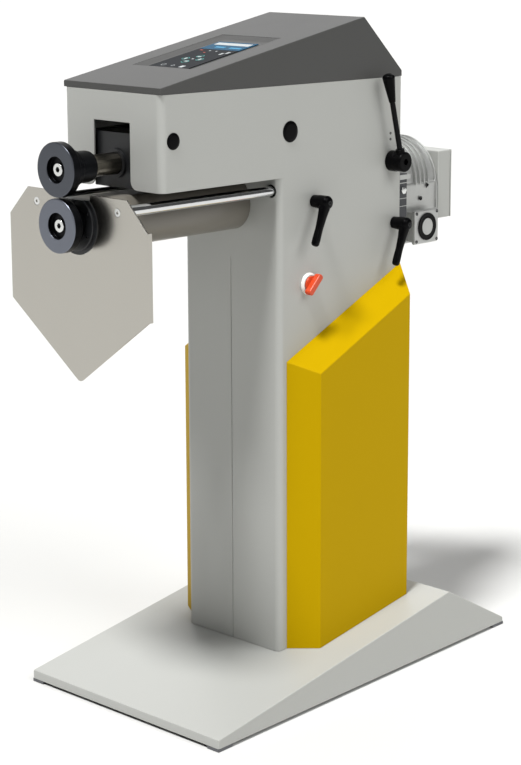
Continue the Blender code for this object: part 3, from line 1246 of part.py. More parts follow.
def gauge():
    """The stop plate: keyhole over the lower arm, folded side flanges and two guide rods."""
    neck = math.degrees(math.acos(GAUGE_NECK_HALF / GAUGE_HOLE_RADIUS))
    hole = arc((0, LOWER_AXIS_Z), GAUGE_HOLE_RADIUS, neck, neck - 180 - 2 * neck, GAUGE_HOLE_STEPS)
    side = [(GAUGE_TOP_HALF, GAUGE_TOP_Z), (GAUGE_HALF, GAUGE_SHOULDER_Z), (GAUGE_HALF, GAUGE_SIDE_END_Z)]
    steep = math.atan2(GAUGE_HALF, GAUGE_SIDE_END_Z - GAUGE_TIP_Z)
    tip_z = GAUGE_TIP_Z + GAUGE_TIP_ROUND
    span = 90 - math.degrees(steep)
    tip = arc((0, tip_z), GAUGE_TIP_ROUND, -90 + span, -90 - span, TIP_STEPS)
    other = [(-x, z) for x, z in reversed(side)]
    outline = [(GAUGE_NECK_HALF, GAUGE_TOP_Z), *side, *tip, *other, (-GAUGE_NECK_HALF, GAUGE_TOP_Z)]
    outline += hole[::-1]
    plate_piece = to_mesh(plate("gauge_plate", "XZ", outline, GAUGE_Y, GAUGE_SHEET, stainless()))
    flanges = bmesh.new()
    for side_sign in (-1, 1):
        outer = side_sign * GAUGE_HALF
        inner = side_sign * (GAUGE_HALF - GAUGE_SHEET)
        low = (min(outer, inner), GAUGE_Y + GAUGE_SHEET / 2, GAUGE_SIDE_END_Z)
        add_box(flanges, low, (max(outer, inner), GAUGE_Y + GAUGE_FLANGE, GAUGE_SHOULDER_Z))
    join(plate_piece, mesh_piece("gauge_flange_joiner", flanges, None))
    sinks = bmesh.new()
    cone = GUIDE_SCREW_RADIUS - GUIDE_SCREW_SHANK
    for side_sign in (-1, 1):
        start = (side_sign * GUIDE_X, GAUGE_Y - GAP, GUIDE_Z)
        add_round(sinks, "Y", start, cone, GUIDE_SCREW_RADIUS, PLUG_STEPS, GUIDE_SCREW_SHANK)
    cut(plate_piece, mesh_piece("gauge_sink_cutter", sinks, None))
    moving = [plate_piece]
    start_y = GAUGE_Y + GAUGE_SHEET + GAP
    length = GUIDE_REAR_Y - start_y
    profile = [(0, 0), (0, GUIDE_RADIUS - GUIDE_EDGE), (GUIDE_EDGE, GUIDE_RADIUS)]
    profile += [(length - GUIDE_EDGE, GUIDE_RADIUS), (length, GUIDE_RADIUS - GUIDE_EDGE), (length, 0)]
    for side_sign, name in ((-1, "guide_rod_left"), (1, "guide_rod_right")):
        place = (side_sign * GUIDE_X, start_y, GUIDE_Z)
        moving.append(turned(name, "Y", place, profile, bright_steel(), None, PLUG_STEPS))
    ride("gauge_axis", (0, GAUGE_Y, GUIDE_Z), moving)


def gear_adapter():
    low = (-ADAPTER_HALF, ADAPTER_Y, LOWER_AXIS_Z - ADAPTER_BELOW)
    high = (ADAPTER_HALF, ADAPTER_Y + ADAPTER_PLATE, LOWER_AXIS_Z + ADAPTER_ABOVE)
    block = box("gear_adapter", low, high, dark_casting())
    start = (0, ADAPTER_Y + ADAPTER_PLATE / 2, LOWER_AXIS_Z)
    length = ADAPTER_PLATE / 2 + ADAPTER_SPIGOT_LENGTH
    join(block, rounds("spigot_joiner", "Y", [start], length, ADAPTER_SPIGOT, TURN_STEPS, None))
    start = (0, ADAPTER_Y - OVERRUN, LOWER_AXIS_Z)
    through = ADAPTER_PLATE + ADAPTER_SPIGOT_LENGTH + OVERRUN * 2
    bore = SHAFT_RADIUS + GAP * 2
    cut(block, rounds("adapter_bore_cutter", "Y", [start], through, bore, BEARING_STEPS, None))


def gearbox():
    """The worm gear housing: finned dome round the output shaft, skirt, and worm barrel with flanges."""
    outside = [(0, GEARBOX_RADIUS)]
    for i in range(GEARBOX_FIN_COUNT):
        start = GEARBOX_FIN_START + GEARBOX_FIN_PITCH * i
        tip = GEARBOX_RADIUS + GEARBOX_FIN
        outside += [(start, GEARBOX_RADIUS), (start, tip), (start + GEARBOX_FIN_WIDTH, tip)]
        outside += [(start + GEARBOX_FIN_WIDTH, GEARBOX_RADIUS)]
    rear = GEARBOX_LENGTH + DRIVE_BOX_SPACER - GAP
    edge = GEARBOX_LENGTH - GEARBOX_EDGE
    outside += [(edge, GEARBOX_RADIUS), (GEARBOX_LENGTH, GEARBOX_RADIUS - GEARBOX_EDGE)]
    outside += [(GEARBOX_LENGTH, GEARBOX_BOSS_RADIUS), (rear, GEARBOX_BOSS_RADIUS), (rear, 0)]
    place = (0, GEARBOX_Y, LOWER_AXIS_Z)
    dome = turned("gearbox_housing", "Y", place, [(0, 0), *outside], cast_aluminium(), None, GEARBOX_STEPS)
    bottom = WORM_Z - FLANGE_HEIGHT / 2
    skirt_y = SKIRT_LENGTH / 2
    low = (-SKIRT_HALF, WORM_Y - skirt_y, bottom)
    skirt = box("skirt_joiner", low, (SKIRT_HALF, WORM_Y + skirt_y, LOWER_AXIS_Z), None)
    round_edges(skirt, GEARBOX_EDGE, 2)
    half_y = FLANGE_LENGTH / 2
    half_z = FLANGE_HEIGHT / 2
    lean_y = half_y * WORM_BODY_SHARE
    lean_z = half_z * WORM_BODY_SHARE
    reach = WORM_HALF_LENGTH + FLANGE_THICKNESS / 2
    low = (-reach, WORM_Y - lean_y, WORM_Z - lean_z)
    barrel = box("worm_barrel_joiner", low, (reach, WORM_Y + lean_y, WORM_Z + lean_z), None)
    bm = bmesh.new()
    for side in (-1, 1):
        near = side * WORM_HALF_LENGTH
        far = side * (WORM_HALF_LENGTH + FLANGE_THICKNESS)
        low = (min(near, far), WORM_Y - half_y, WORM_Z - half_z)
        add_box(bm, low, (max(near, far), WORM_Y + half_y, WORM_Z + half_z))
    flanges = mesh_piece("worm_flange_joiner", bm, None)
    round_edges(flanges, FLANGE_EDGE, 2)
    join(dome, skirt, barrel, flanges)
    boss = (WORM_HALF_LENGTH, WORM_Y, WORM_Z)
    reach = FLANGE_THICKNESS + GAP + WORM_CAP
    join(dome, rounds("worm_boss_joiner", "X", [boss], reach, WORM_RING_HOLE - GAP, BEARING_STEPS, None))
    start = (0, GEARBOX_Y - OVERRUN, LOWER_AXIS_Z)
    depth = SHAFT_REAR_DEPTH + OVERRUN * 2
    cut(dome, rounds("gearbox_bore_cutter", "Y", [start], depth, SHAFT_RADIUS + GAP, BEARING_STEPS, None))
    face = WORM_HALF_LENGTH + FLANGE_THICKNESS + GAP
    ring = [(0, WORM_RING_HOLE), (0, WORM_RING_RADIUS), (WORM_RING, WORM_RING_RADIUS)]
    place = (face, WORM_Y, WORM_Z)
    turned("worm_seal_ring", "X", place, ring, black_plastic(), [(WORM_RING, WORM_RING_HOLE)], BEARING_STEPS)


def motor():
    """The motor on the far flange: flanged and finned body, and fan cover."""
    start = -(WORM_HALF_LENGTH + FLANGE_THICKNESS + GAP)
    center = (WORM_Y, WORM_Z)
    outline = []
    root = MOTOR_RADIUS - MOTOR_FIN
    rise, crest, fall = MOTOR_FIN_SHARES
    for i in range(MOTOR_FIN_COUNT):
        for share, radius in ((0, root), (rise, root), (crest, MOTOR_RADIUS), (fall, MOTOR_RADIUS)):
            angle = 2 * math.pi * (i + share) / MOTOR_FIN_COUNT
            outline.append((WORM_Y + radius * math.cos(angle), WORM_Z + radius * math.sin(angle)))
    body_end = start - MOTOR_ADAPTER
    body = to_mesh(plate("motor_body", "YZ", outline, body_end - MOTOR_LENGTH, MOTOR_LENGTH, dark_paint()))
    reach = MOTOR_ADAPTER + OVERRUN
    radius = MOTOR_ADAPTER_RADIUS
    join(body, rounds("motor_flange_joiner", "-X", [(start, *center)], reach, radius, TURN_STEPS, None))
    end = body_end - MOTOR_LENGTH - GAP
    rim = FAN_COVER_LENGTH
    inner = FAN_GRILLE_RADIUS
    profile = [(0, 0), (0, FAN_COVER_RADIUS), (rim - FAN_COVER_EDGE, FAN_COVER_RADIUS)]
    profile += [(rim, FAN_COVER_RADIUS - FAN_COVER_EDGE), (rim, inner), (rim - FAN_GRILLE_DEPTH, inner)]
    while inner > FAN_RIB * 3:
        inner -= FAN_RIB
        profile += [(rim - FAN_GRILLE_DEPTH, inner), (rim, inner), (rim, inner - FAN_RIB)]
        inner -= FAN_RIB
        profile += [(rim - FAN_GRILLE_DEPTH, inner)]
    profile += [(rim - FAN_GRILLE_DEPTH, 0)]
    turned("motor_fan_cover", "-X", (end, *center), profile, dark_paint(), None, BEARING_STEPS)


def drive_box():
    start = GEARBOX_BACK_Y + DRIVE_BOX_SPACER
    top = DRIVE_BOX_BOTTOM_Z + DRIVE_BOX_HEIGHT
    low = (-DRIVE_BOX_HALF, start, DRIVE_BOX_BOTTOM_Z)
    body = box("drive_box", low, (DRIVE_BOX_HALF, start + DRIVE_BOX_DEPTH, top), grey_paint())
    round_edges(body, DRIVE_BOX_EDGE, 2)
    lid_y = start + DRIVE_BOX_DEPTH + GAP
    low = (-DRIVE_BOX_HALF, lid_y, DRIVE_BOX_BOTTOM_Z)
    lid = box("drive_box_lid", low, (DRIVE_BOX_HALF, lid_y + DRIVE_LID, top), grey_paint())
    round_edges(lid, PANEL_EDGE, 1)
    place = (GLAND_X, start + DRIVE_BOX_DEPTH / 2, DRIVE_BOX_BOTTOM_Z - GAP)
    end = GLAND_NUT + GLAND_DOME
    nut = [(0, GLAND_BORE), (0, GLAND_NUT_RADIUS), (GLAND_NUT, GLAND_NUT_RADIUS)]
    nut += [(GLAND_NUT, GLAND_DOME_RADIUS), (end - HUB_EDGE, GLAND_DOME_RADIUS)]
    nut.append((end, GLAND_DOME_RADIUS - HUB_EDGE))
    turned("cable_gland", "-Z", place, nut, black_plastic(), [(end, GLAND_BORE)], PLUG_STEPS)


def build():
    base()
    housing(*housing_cutters())
    rear_panel()
    top_cover()
    side_covers()
    lower_arm()
    lower_drive()
    rocker()
    upper_spindle()
    pivots_and_plugs()
    eccentric_lever()
    clamp_lever("clamp_lever_front", CLAMP_FRONT_Y, CLAMP_FRONT_Z)
    clamp_lever("clamp_lever_rear", CLAMP_REAR_Y, CLAMP_REAR_Z)
    clamp_blocks()
    main_switch()
    gauge()
    gear_adapter()
    gearbox()
    motor()
    drive_box()


build()
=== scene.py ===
import json
import math

import bmesh
import bpy
import numpy as np
from mathutils import Matrix, Vector


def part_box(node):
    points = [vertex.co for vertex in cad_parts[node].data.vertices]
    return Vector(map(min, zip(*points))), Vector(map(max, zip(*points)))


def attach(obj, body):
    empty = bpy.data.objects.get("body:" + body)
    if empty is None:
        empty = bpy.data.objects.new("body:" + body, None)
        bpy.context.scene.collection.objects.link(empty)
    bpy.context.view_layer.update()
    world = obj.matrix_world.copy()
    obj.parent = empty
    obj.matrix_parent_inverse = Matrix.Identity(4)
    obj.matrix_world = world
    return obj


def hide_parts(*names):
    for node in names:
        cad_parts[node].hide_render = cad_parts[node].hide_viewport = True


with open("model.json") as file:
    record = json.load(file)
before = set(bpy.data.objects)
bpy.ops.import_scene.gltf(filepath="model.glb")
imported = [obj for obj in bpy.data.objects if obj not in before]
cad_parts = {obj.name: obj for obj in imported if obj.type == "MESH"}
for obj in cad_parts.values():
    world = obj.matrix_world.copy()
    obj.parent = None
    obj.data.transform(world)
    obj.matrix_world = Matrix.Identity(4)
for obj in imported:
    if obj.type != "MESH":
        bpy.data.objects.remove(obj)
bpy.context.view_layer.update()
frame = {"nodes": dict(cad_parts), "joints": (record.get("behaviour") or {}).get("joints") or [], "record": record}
mm = 0.001
scene = bpy.context.scene
print("frame loaded")


# places taken from the frame
def low(node):
    return np.array(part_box(node)[0])


def high(node):
    return np.array(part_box(node)[1])


def middle(node):
    return (low(node) + high(node)) / 2


# finishes
def toLinear(code):
    # each channel of an sRGB hex colour, taken back to linear light
    channel = np.array([int(code[i:i + 2], 16) / 255 for i in (0, 2, 4)])
    linear = np.where(channel <= 0.04045, channel / 12.92, ((channel + 0.055) / 1.055) ** 2.4)
    return (*linear.tolist(), 1.0)


def addNode(tree, kind, settings=None, links=None):
    # one node, its settings by name, its inputs by name or number: a value or another node's output
    node = tree.nodes.new("ShaderNode" + kind)
    for key, value in (settings or {}).items():
        setattr(node, key, value)
    for key, value in (links or {}).items():
        if isinstance(value, bpy.types.NodeSocket):
            tree.links.new(value, node.inputs[key])
        else:
            node.inputs[key].default_value = value
    return node


def startFinish(name, look):
    material = bpy.data.materials.new(name)
    material.use_nodes = True
    tree = material.node_tree
    shader = tree.nodes["Principled BSDF"]
    shader.inputs["Base Color"].default_value = toLinear(look["colour"])
    for socket, key in (("Metallic", "metallic"), ("Roughness", "roughness"), ("IOR", "ior"),
                        ("Specular IOR Level", "specular")):
        if key in look:
            shader.inputs[socket].default_value = look[key]
    place = addNode(tree, "TexCoord").outputs["Object"]
    return material, tree, shader, place


def addTone(tree, shader, look, pattern):
    # the pattern moves the colour between a darker and a lighter shade, and the roughness with it
    base = np.array(toLinear(look["colour"])[:3])
    spread = look["tone"]
    dark = (*(base * (1 - spread)).tolist(), 1.0)
    light = (*np.minimum(base * (1 + spread), 1).tolist(), 1.0)
    mixed = addNode(tree, "Mix", {"data_type": "RGBA"}, {0: pattern, 6: dark, 7: light})
    tree.links.new(mixed.outputs[2], shader.inputs["Base Color"])
    change = look.get("roughnessChange", 0.05)
    limits = {0: pattern, 3: look["roughness"] - change, 4: look["roughness"] + change}
    tree.links.new(addNode(tree, "MapRange", {}, limits).outputs[0], shader.inputs["Roughness"])


def addRelief(tree, shader, height, depth):
    bump = addNode(tree, "Bump", {}, {"Height": height, "Distance": depth, "Strength": 1.0})
    tree.links.new(bump.outputs[0], shader.inputs["Normal"])


def grainyFinish(name, look):
    # two noises: a fine one for the surface's own grain, a broad one for its uneven tone
    material, tree, shader, place = startFinish(name, look)
    stretch = look.get("stretch", (1, 1, 1))
    laid = addNode(tree, "Mapping", {}, {"Vector": place, "Scale": stretch}).outputs[0]
    fineLook = {"Vector": laid, "Scale": 1 / (look["grain"] * mm), "Detail": 4.0, "Roughness": 0.6}
    broadLook = {"Vector": laid, "Scale": 1 / (look["cloud"] * mm), "Detail": 3.0, "Roughness": 0.5}
    fine = addNode(tree, "TexNoise", {}, fineLook)
    broad = addNode(tree, "TexNoise", {}, broadLook)
    both = addNode(tree, "Math", {"operation": "ADD"}, {0: fine.outputs[0], 1: broad.outputs[0]}).outputs[0]
    half = addNode(tree, "Math", {"operation": "MULTIPLY"}, {0: both, 1: 0.5}).outputs[0]
    addTone(tree, shader, look, half)
    addRelief(tree, shader, fine.outputs[0], look["relief"] * mm)
    for spread in look.get("beyond", ()):
        addBeyond(tree, shader, place, *spread)
    return material


# a wave texture of scale 1 repeats every 0.314 m
waveLength = 0.314


def lathedFinish(name, look, axis, centre):
    # tool marks: rings round the axis on the end faces, and bands along it on the round ones;
    # the tone is a quarter of both marks and half of a broad cloud
    material, tree, shader, place = startFinish(name, look)
    location = tuple(-float(c) for c in centre)
    moved = addNode(tree, "Mapping", {}, {"Vector": place, "Location": location}).outputs[0]
    wave = {"Vector": moved, "Scale": waveLength / (look["pitch"] * mm), "Distortion": 0.6, "Detail": 2.0,
            "Detail Scale": 2.0}
    rings = addNode(tree, "TexWave", {"wave_type": "RINGS", "rings_direction": axis}, wave).outputs["Fac"]
    bands = addNode(tree, "TexWave", {"wave_type": "BANDS", "bands_direction": axis}, wave).outputs["Fac"]
    marks = addNode(tree, "Math", {"operation": "ADD"}, {0: rings, 1: bands}).outputs[0]
    cloud = addNode(tree, "TexNoise", {}, {"Vector": moved, "Scale": 1 / (look["cloud"] * mm), "Detail": 3.0})
    quarter = addNode(tree, "Math", {"operation": "MULTIPLY"}, {0: marks, 1: 0.25}).outputs[0]
    blend = {0: cloud.outputs[0], 1: 0.5, 2: quarter}
    tone = addNode(tree, "Math", {"operation": "MULTIPLY_ADD"}, blend).outputs[0]
    addTone(tree, shader, look, tone)
    addRelief(tree, shader, marks, look["relief"] * mm)
    for spread in look.get("beyond", ()):
        addBeyond(tree, shader, place, *spread)
    return material


def addBeyond(tree, shader, place, axis, start, span, colour):
    # past a height along one axis the colour changes to another, over a short span
    along = addNode(tree, "SeparateXYZ", {}, {"Vector": place}).outputs[axis]
    share = addNode(tree, "MapRange", {}, {0: along, 1: float(start), 2: float(start + span)}).outputs[0]
    before = shader.inputs["Base Color"].links[0].from_socket
    mixed = addNode(tree, "Mix", {"data_type": "RGBA"}, {0: share, 6: before, 7: toLinear(colour)})
    tree.links.new(mixed.outputs[2], shader.inputs["Base Color"])


# looks: grain, cloud, pitch and relief are in millimetres
# powder coat: baked polyester powder, an even satin skin with a faint orange peel;
# the real peel is about 1.5 mm across, drawn 3 mm so that it shows at all
coat = {"roughness": 0.42, "ior": 1.5, "grain": 3, "relief": 0.02}
coatLooks = {"light": dict(coat, colour="ACADA9", cloud=160, tone=0.025),
             "cover": dict(coat, colour="4C4C4B", roughness=0.4, specular=0.2, cloud=140, tone=0.03),
             "yellow": dict(coat, colour="B79500", ior=1.4, specular=0.05, cloud=150, tone=0.02)}
lightCoat = grainyFinish("lightPowderCoat", coatLooks["light"])
coverCoat = grainyFinish("darkPowderCoat", coatLooks["cover"])
yellowCoat = grainyFinish("yellowPowderCoat", coatLooks["yellow"])

# brushed paint over a casting or a rough plate: duller, with brush and sand marks of a few millimetres
paint = {"roughness": 0.42, "ior": 1.5, "grain": 2, "cloud": 50, "relief": 0.03}
paintLooks = {"arm": dict(paint, colour="726E66", roughness=0.35, grain=2.5, cloud=60, tone=0.05),
              "black": dict(paint, colour="191A1C", tone=0.18),
              "base": dict(paint, colour="55565A", roughness=0.5, cloud=70, tone=0.08),
              "motor": dict(paint, colour="4A4D50", relief=0.04, tone=0.06)}
# the arm's milled flat is painted near-black as painted shade, since little light reaches it under the head; its
# front end is painted
# as black as the cap in it: how far below the top or behind the front each starts, its span and colour
armBands = {"flat": (9 * mm, 5 * mm, "1E1C1A"), "front": (16 * mm, -3 * mm, "0B0B0C")}
paintLooks["arm"]["beyond"] = (("Z", high("lower_arm")[2] - armBands["flat"][0], *armBands["flat"][1:]),
                               ("Y", low("lower_arm")[1] + armBands["front"][0], *armBands["front"][1:]))
armPaint = grainyFinish("satinArmPaint", paintLooks["arm"])
blackPaint = grainyFinish("blackRockerPaint", paintLooks["black"])
framePaint = grainyFinish("greyFramePaint", paintLooks["base"])
motorPaint = grainyFinish("greyMotorPaint", paintLooks["motor"])

# metals, each named for how its skin was made
metalLooks = {
    # cast in an iron mould and shot blasted: dull silver with a sandy grain under 1 mm, drawn 1.8 mm
    "cast": {"colour": "BFC0BE", "metallic": 0.85, "roughness": 0.46, "grain": 1.8, "cloud": 22,
             "relief": 0.10, "tone": 0.16, "roughnessChange": 0.1},
    "darkCast": {"colour": "4C4D50", "metallic": 0.6, "roughness": 0.5, "grain": 1.8, "cloud": 25,
                 "relief": 0.10, "tone": 0.14, "roughnessChange": 0.08},
    # stainless sheet with a belt-ground line: grain under 0.1 mm, drawn 0.9 mm wide and long along the height
    "brushed": {"colour": "B5B2AB", "metallic": 1.0, "roughness": 0.23, "grain": 0.9, "cloud": 30,
                "stretch": (1, 1, 0.03), "relief": 0.006, "tone": 0.05, "roughnessChange": 0.06},
    # black oxide on socket screws: a thin dull skin that lets a little of the steel through
    "oxide": {"colour": "1A1B1D", "metallic": 0.5, "roughness": 0.42, "grain": 0.8, "cloud": 5,
              "relief": 0.01, "tone": 0.12, "roughnessChange": 0.06},
    # bright zinc on small fasteners: almost white, lightly clouded
    "zinc": {"colour": "DCDDDC", "metallic": 1.0, "roughness": 0.24, "grain": 0.8, "cloud": 5,
             "relief": 0.01, "tone": 0.08, "roughnessChange": 0.06},
}
castAluminium = grainyFinish("castAluminium", metalLooks["cast"])
darkCasting = grainyFinish("darkCasting", metalLooks["darkCast"])
brushedSteel = grainyFinish("brushedStainless", metalLooks["brushed"])
zincSteel = grainyFinish("brightZinc", metalLooks["zinc"])
blackOxide = grainyFinish("blackOxideSteel", metalLooks["oxide"])

turnedLooks = {
    # burnished tool steel: turned, then blackened hot, so blue-black with soft rings;
    # the real feed marks are 0.1 mm apart, drawn 0.9 mm
    "burnished": {"colour": "3E4147", "metallic": 0.9, "roughness": 0.36, "pitch": 0.9, "cloud": 30,
                  "relief": 0.008, "tone": 0.10, "roughnessChange": 0.05},
    # ground shaft steel: grey with a warm cast from its oil film
    "ground": {"colour": "6E6A61", "metallic": 1.0, "roughness": 0.3, "pitch": 1.1, "cloud": 25,
               "relief": 0.006, "tone": 0.08, "roughnessChange": 0.05},
    # hard chrome, ground and polished: the brightest thing on the machine
    "chrome": {"colour": "D6D7D8", "metallic": 1.0, "roughness": 0.13, "pitch": 1.2, "cloud": 30,
               "relief": 0.002, "tone": 0.03, "roughnessChange": 0.03},
}

ink = {"roughness": 0.5, "ior": 1.5, "grain": 0.8, "cloud": 6, "relief": 0.004}
plasticLooks = {
    # glass-filled nylon for levers and plugs: black with a fine sandy mould texture
    "nylon": {"colour": "040405", "roughness": 0.3, "ior": 1.53, "specular": 0.06, "grain": 0.9,
              "cloud": 18, "relief": 0.02, "tone": 0.15},
    # the seal's rubber: black and dull
    "rubber": {"colour": "0B0B0C", "roughness": 0.55, "ior": 1.52, "specular": 0.12, "grain": 0.8,
               "cloud": 15, "relief": 0.02, "tone": 0.12},
    # switch handle: moulded, nearly smooth
    "signal": {"colour": "CC451C", "roughness": 0.32, "ior": 1.49, "grain": 1.2, "cloud": 20,
               "relief": 0.008, "tone": 0.05},
    "white": {"colour": "E9E8E4", "roughness": 0.35, "ior": 1.49, "grain": 1.2, "cloud": 20,
              "relief": 0.008, "tone": 0.03},
    # printed membrane: a matt polyester film
    "film": {"colour": "2A2C2F", "roughness": 0.6, "ior": 1.57, "specular": 0.05, "grain": 1.0,
             "cloud": 25, "relief": 0.008, "tone": 0.06},
    # inks printed on the film and on the window
    "inkSky": dict(ink, colour="3F8DB4", roughness=0.3, specular=0.02, relief=0.002, tone=0.06),
    "inkWhite": dict(ink, colour="B9BEBF", specular=0.1, tone=0.04),
    "inkTeal": dict(ink, colour="3FA9A0", tone=0.05),
    "inkRed": dict(ink, colour="C8452C", tone=0.05),
    # the display's tinted window
    "screen": {"colour": "0D4A68", "roughness": 0.18, "ior": 1.5, "specular": 0.01, "grain": 1.5,
               "cloud": 14, "relief": 0.002, "tone": 0.12},
}
nylon = grainyFinish("glassFilledNylon", plasticLooks["nylon"])
rubber = grainyFinish("sealRubber", plasticLooks["rubber"])
signalPlastic = grainyFinish("orangeRedPlastic", plasticLooks["signal"])
whitePlastic = grainyFinish("whitePlastic", plasticLooks["white"])
membrane = grainyFinish("keypadFilm", plasticLooks["film"])
whiteInk = grainyFinish("whiteInk", plasticLooks["inkWhite"])
skyInk = grainyFinish("skyInk", plasticLooks["inkSky"])
tealInk = grainyFinish("tealInk", plasticLooks["inkTeal"])
redInk = grainyFinish("redInk", plasticLooks["inkRed"])
screenBlue = grainyFinish("screenWindow", plasticLooks["screen"])
print("finishes made")


# shapes
# an arc takes at most this share of a side, and a corner flatter than this half angle stays as it is
lineLimits = {"share": 0.48, "straight": 1.56}


def softLine(points, steps=4, closed=False):
    # a line of (a, b, r) corners, each swapped for an arc of radius r; a corner without r stays sharp
    made = []
    last = len(points) - 1
    for i, corner in enumerate(points):
        here = np.array(corner[:2], float)
        radius = corner[2] if len(corner) > 2 else 0
        if radius == 0 or (not closed and i in (0, last)):
            made.append(here[None])
            continue
        before = np.array(points[i - 1][:2]) - here
        after = np.array(points[(i + 1) % len(points)][:2]) - here
        spans = np.linalg.norm(before), np.linalg.norm(after)
        before, after = before / spans[0], after / spans[1]
        half = math.acos(float(np.clip(before @ after, -1, 1))) / 2
        if half > lineLimits["straight"]:
            made.append(here[None])
            continue
        reach = min(radius / math.tan(half), *(span * lineLimits["share"] for span in spans))
        radius = reach * math.tan(half)
        centre = here + (before + after) / np.linalg.norm(before + after) * radius / math.sin(half)
        first, second = here + before * reach - centre, here + after * reach - centre
        whole = math.pi - 2 * half
        share = np.linspace(0, 1, steps + 1)[:, None]
        arc = np.sin((1 - share) * whole) * first + np.sin(share * whole) * second
        made.append(centre + arc / math.sin(whole))
    return np.concatenate(made)


def squareTo(direction):
    # the axis and two directions square to it, right-handed
    along = np.array(direction, float) / np.linalg.norm(direction)
    side = np.cross((0, 0, 1) if abs(along[2]) < 0.9 else (1, 0, 0), along)
    side /= np.linalg.norm(side)
    return along, side, np.cross(along, side)


def turned(place, direction, profile, sides=72, corners=None):
    # a profile of (along, radius) carried round an axis: place + along * axis + radius * spoke(angle);
    # where corners is 1 for a profile point its ring is a hexagon of that half width instead of a circle
    along, side, up = squareTo(direction)
    profile = np.asarray(profile, float)
    turn = np.linspace(0, 2 * math.pi, sides, endpoint=False)
    spoke = np.cos(turn)[:, None] * side + np.sin(turn)[:, None] * up
    radius = np.repeat(profile[:, 1][:, None], sides, axis=1)
    if corners is not None:
        hexagon = 1 / np.cos(turn % (math.pi / 3) - math.pi / 6)
        radius = radius * np.where(np.asarray(corners)[:, None] > 0, hexagon[None], 1)
    return np.array(place) + profile[:, 0][:, None, None] * along + radius[:, :, None] * spoke[None]


def block(place, direction, upward, half, depth, corner, edge, steps):
    # a rounded rectangle carried over a depth, drawn in by a quarter circle at both ends;
    # its corners never shrink below a quarter of their radius
    along = np.array(direction, float) / np.linalg.norm(direction)
    up = np.array(upward, float) / np.linalg.norm(upward)
    side = np.cross(up, along)
    turn = np.linspace(0, math.pi / 2, steps + 1)
    inset = edge * (1 - np.sin(turn))
    start = edge * (1 - np.cos(turn))
    inset = np.concatenate([inset, inset[::-1]])
    reach = np.concatenate([start, depth - start[::-1]])
    angle = np.concatenate([turn + i * math.pi / 2 for i in range(4)])
    signX = np.repeat([1, -1, -1, 1], steps + 1)
    signY = np.repeat([1, 1, -1, -1], steps + 1)
    radius = np.maximum(corner - inset, corner * 0.25)[:, None]
    x = signX * (half[0] - inset[:, None] - radius) + radius * np.cos(angle)
    y = signY * (half[1] - inset[:, None] - radius) + radius * np.sin(angle)
    return np.array(place) + reach[:, None, None] * along + x[..., None] * side + y[..., None] * up


def swept(path, wide, tall, reference, sides, power):
    # a superellipse carried along a path, its half width and half height given for each point
    path = np.asarray(path, float)
    tangent = np.gradient(path, axis=0)
    tangent /= np.linalg.norm(tangent, axis=1)[:, None]
    side = np.cross(np.array(reference, float), tangent)
    side /= np.linalg.norm(side, axis=1)[:, None]
    up = np.cross(tangent, side)
    turn = np.linspace(0, 2 * math.pi, sides, endpoint=False)
    cosine, sine = np.cos(turn), np.sin(turn)
    x = np.sign(cosine) * np.abs(cosine) ** (2 / power)
    y = np.sign(sine) * np.abs(sine) ** (2 / power)
    across = np.asarray(wide)[:, None] * x
    over = np.asarray(tall)[:, None] * y
    return path[:, None] + across[..., None] * side[:, None] + over[..., None] * up[:, None]


def gridFaces(rows, columns, offset=0, loop=False):
    # a quad between neighbouring rows and columns; columns close round, and rows too where loop is true
    index = np.arange(rows * columns).reshape(rows, columns) + offset
    if loop:
        index = np.concatenate([index, index[:1]])
    after = np.roll(index, -1, axis=1)
    return np.stack([index[:-1], after[:-1], after[1:], index[1:]], -1).reshape(-1, 4).tolist()


def makePiece(name, shells, finish, body, stands, sharp, closing):
    # grids of points to one mesh, each grid capped at both ends or its last row joined to its first
    points, faces, offset = [], [], 0
    for rings in shells:
        rows, columns = rings.shape[:2]
        faces += gridFaces(rows, columns, offset, closing == "join")
        end = offset + rows * columns
        if closing == "cap":
            faces += [list(range(offset, offset + columns))[::-1], list(range(end - columns, end))]
        points.append(rings.reshape(-1, 3))
        offset = end
    mesh = bpy.data.meshes.new(name)
    mesh.from_pydata(np.concatenate(points).tolist(), [], faces)
    finishPiece(name, mesh, finish, body, stands, sharp)


# distances for merging points in new meshes and in copies, the angle in radians up to which a copy's
# faces count as one flat face, and the angle in degrees from which an edge is rounded
meshLimits = {"merge": 0.002 * mm, "copyMerge": 0.01 * mm, "flat": 0.012, "bevel": 40}


def finishPiece(name, mesh, finish, body, stands, sharp):
    # doubles merged, faces turned outwards, edges sharper than an angle in degrees kept hard
    work = bmesh.new()
    work.from_mesh(mesh)
    bmesh.ops.remove_doubles(work, verts=work.verts, dist=meshLimits["merge"])
    bmesh.ops.dissolve_degenerate(work, edges=work.edges, dist=meshLimits["merge"])
    bmesh.ops.recalc_face_normals(work, faces=work.faces)
    work.to_mesh(mesh)
    work.free()
    mesh.materials.append(finish)
    mesh.shade_smooth()
    mesh.set_sharp_from_angle(angle=math.radians(sharp))
    piece = bpy.data.objects.new(name, mesh)
    scene.collection.objects.link(piece)
    weighted = piece.modifiers.new("Weighted", "WEIGHTED_NORMAL")
    weighted.keep_sharp = True
    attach(piece, body)
    if stands:
        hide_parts(*([stands] if isinstance(stands, str) else stands))
    return piece


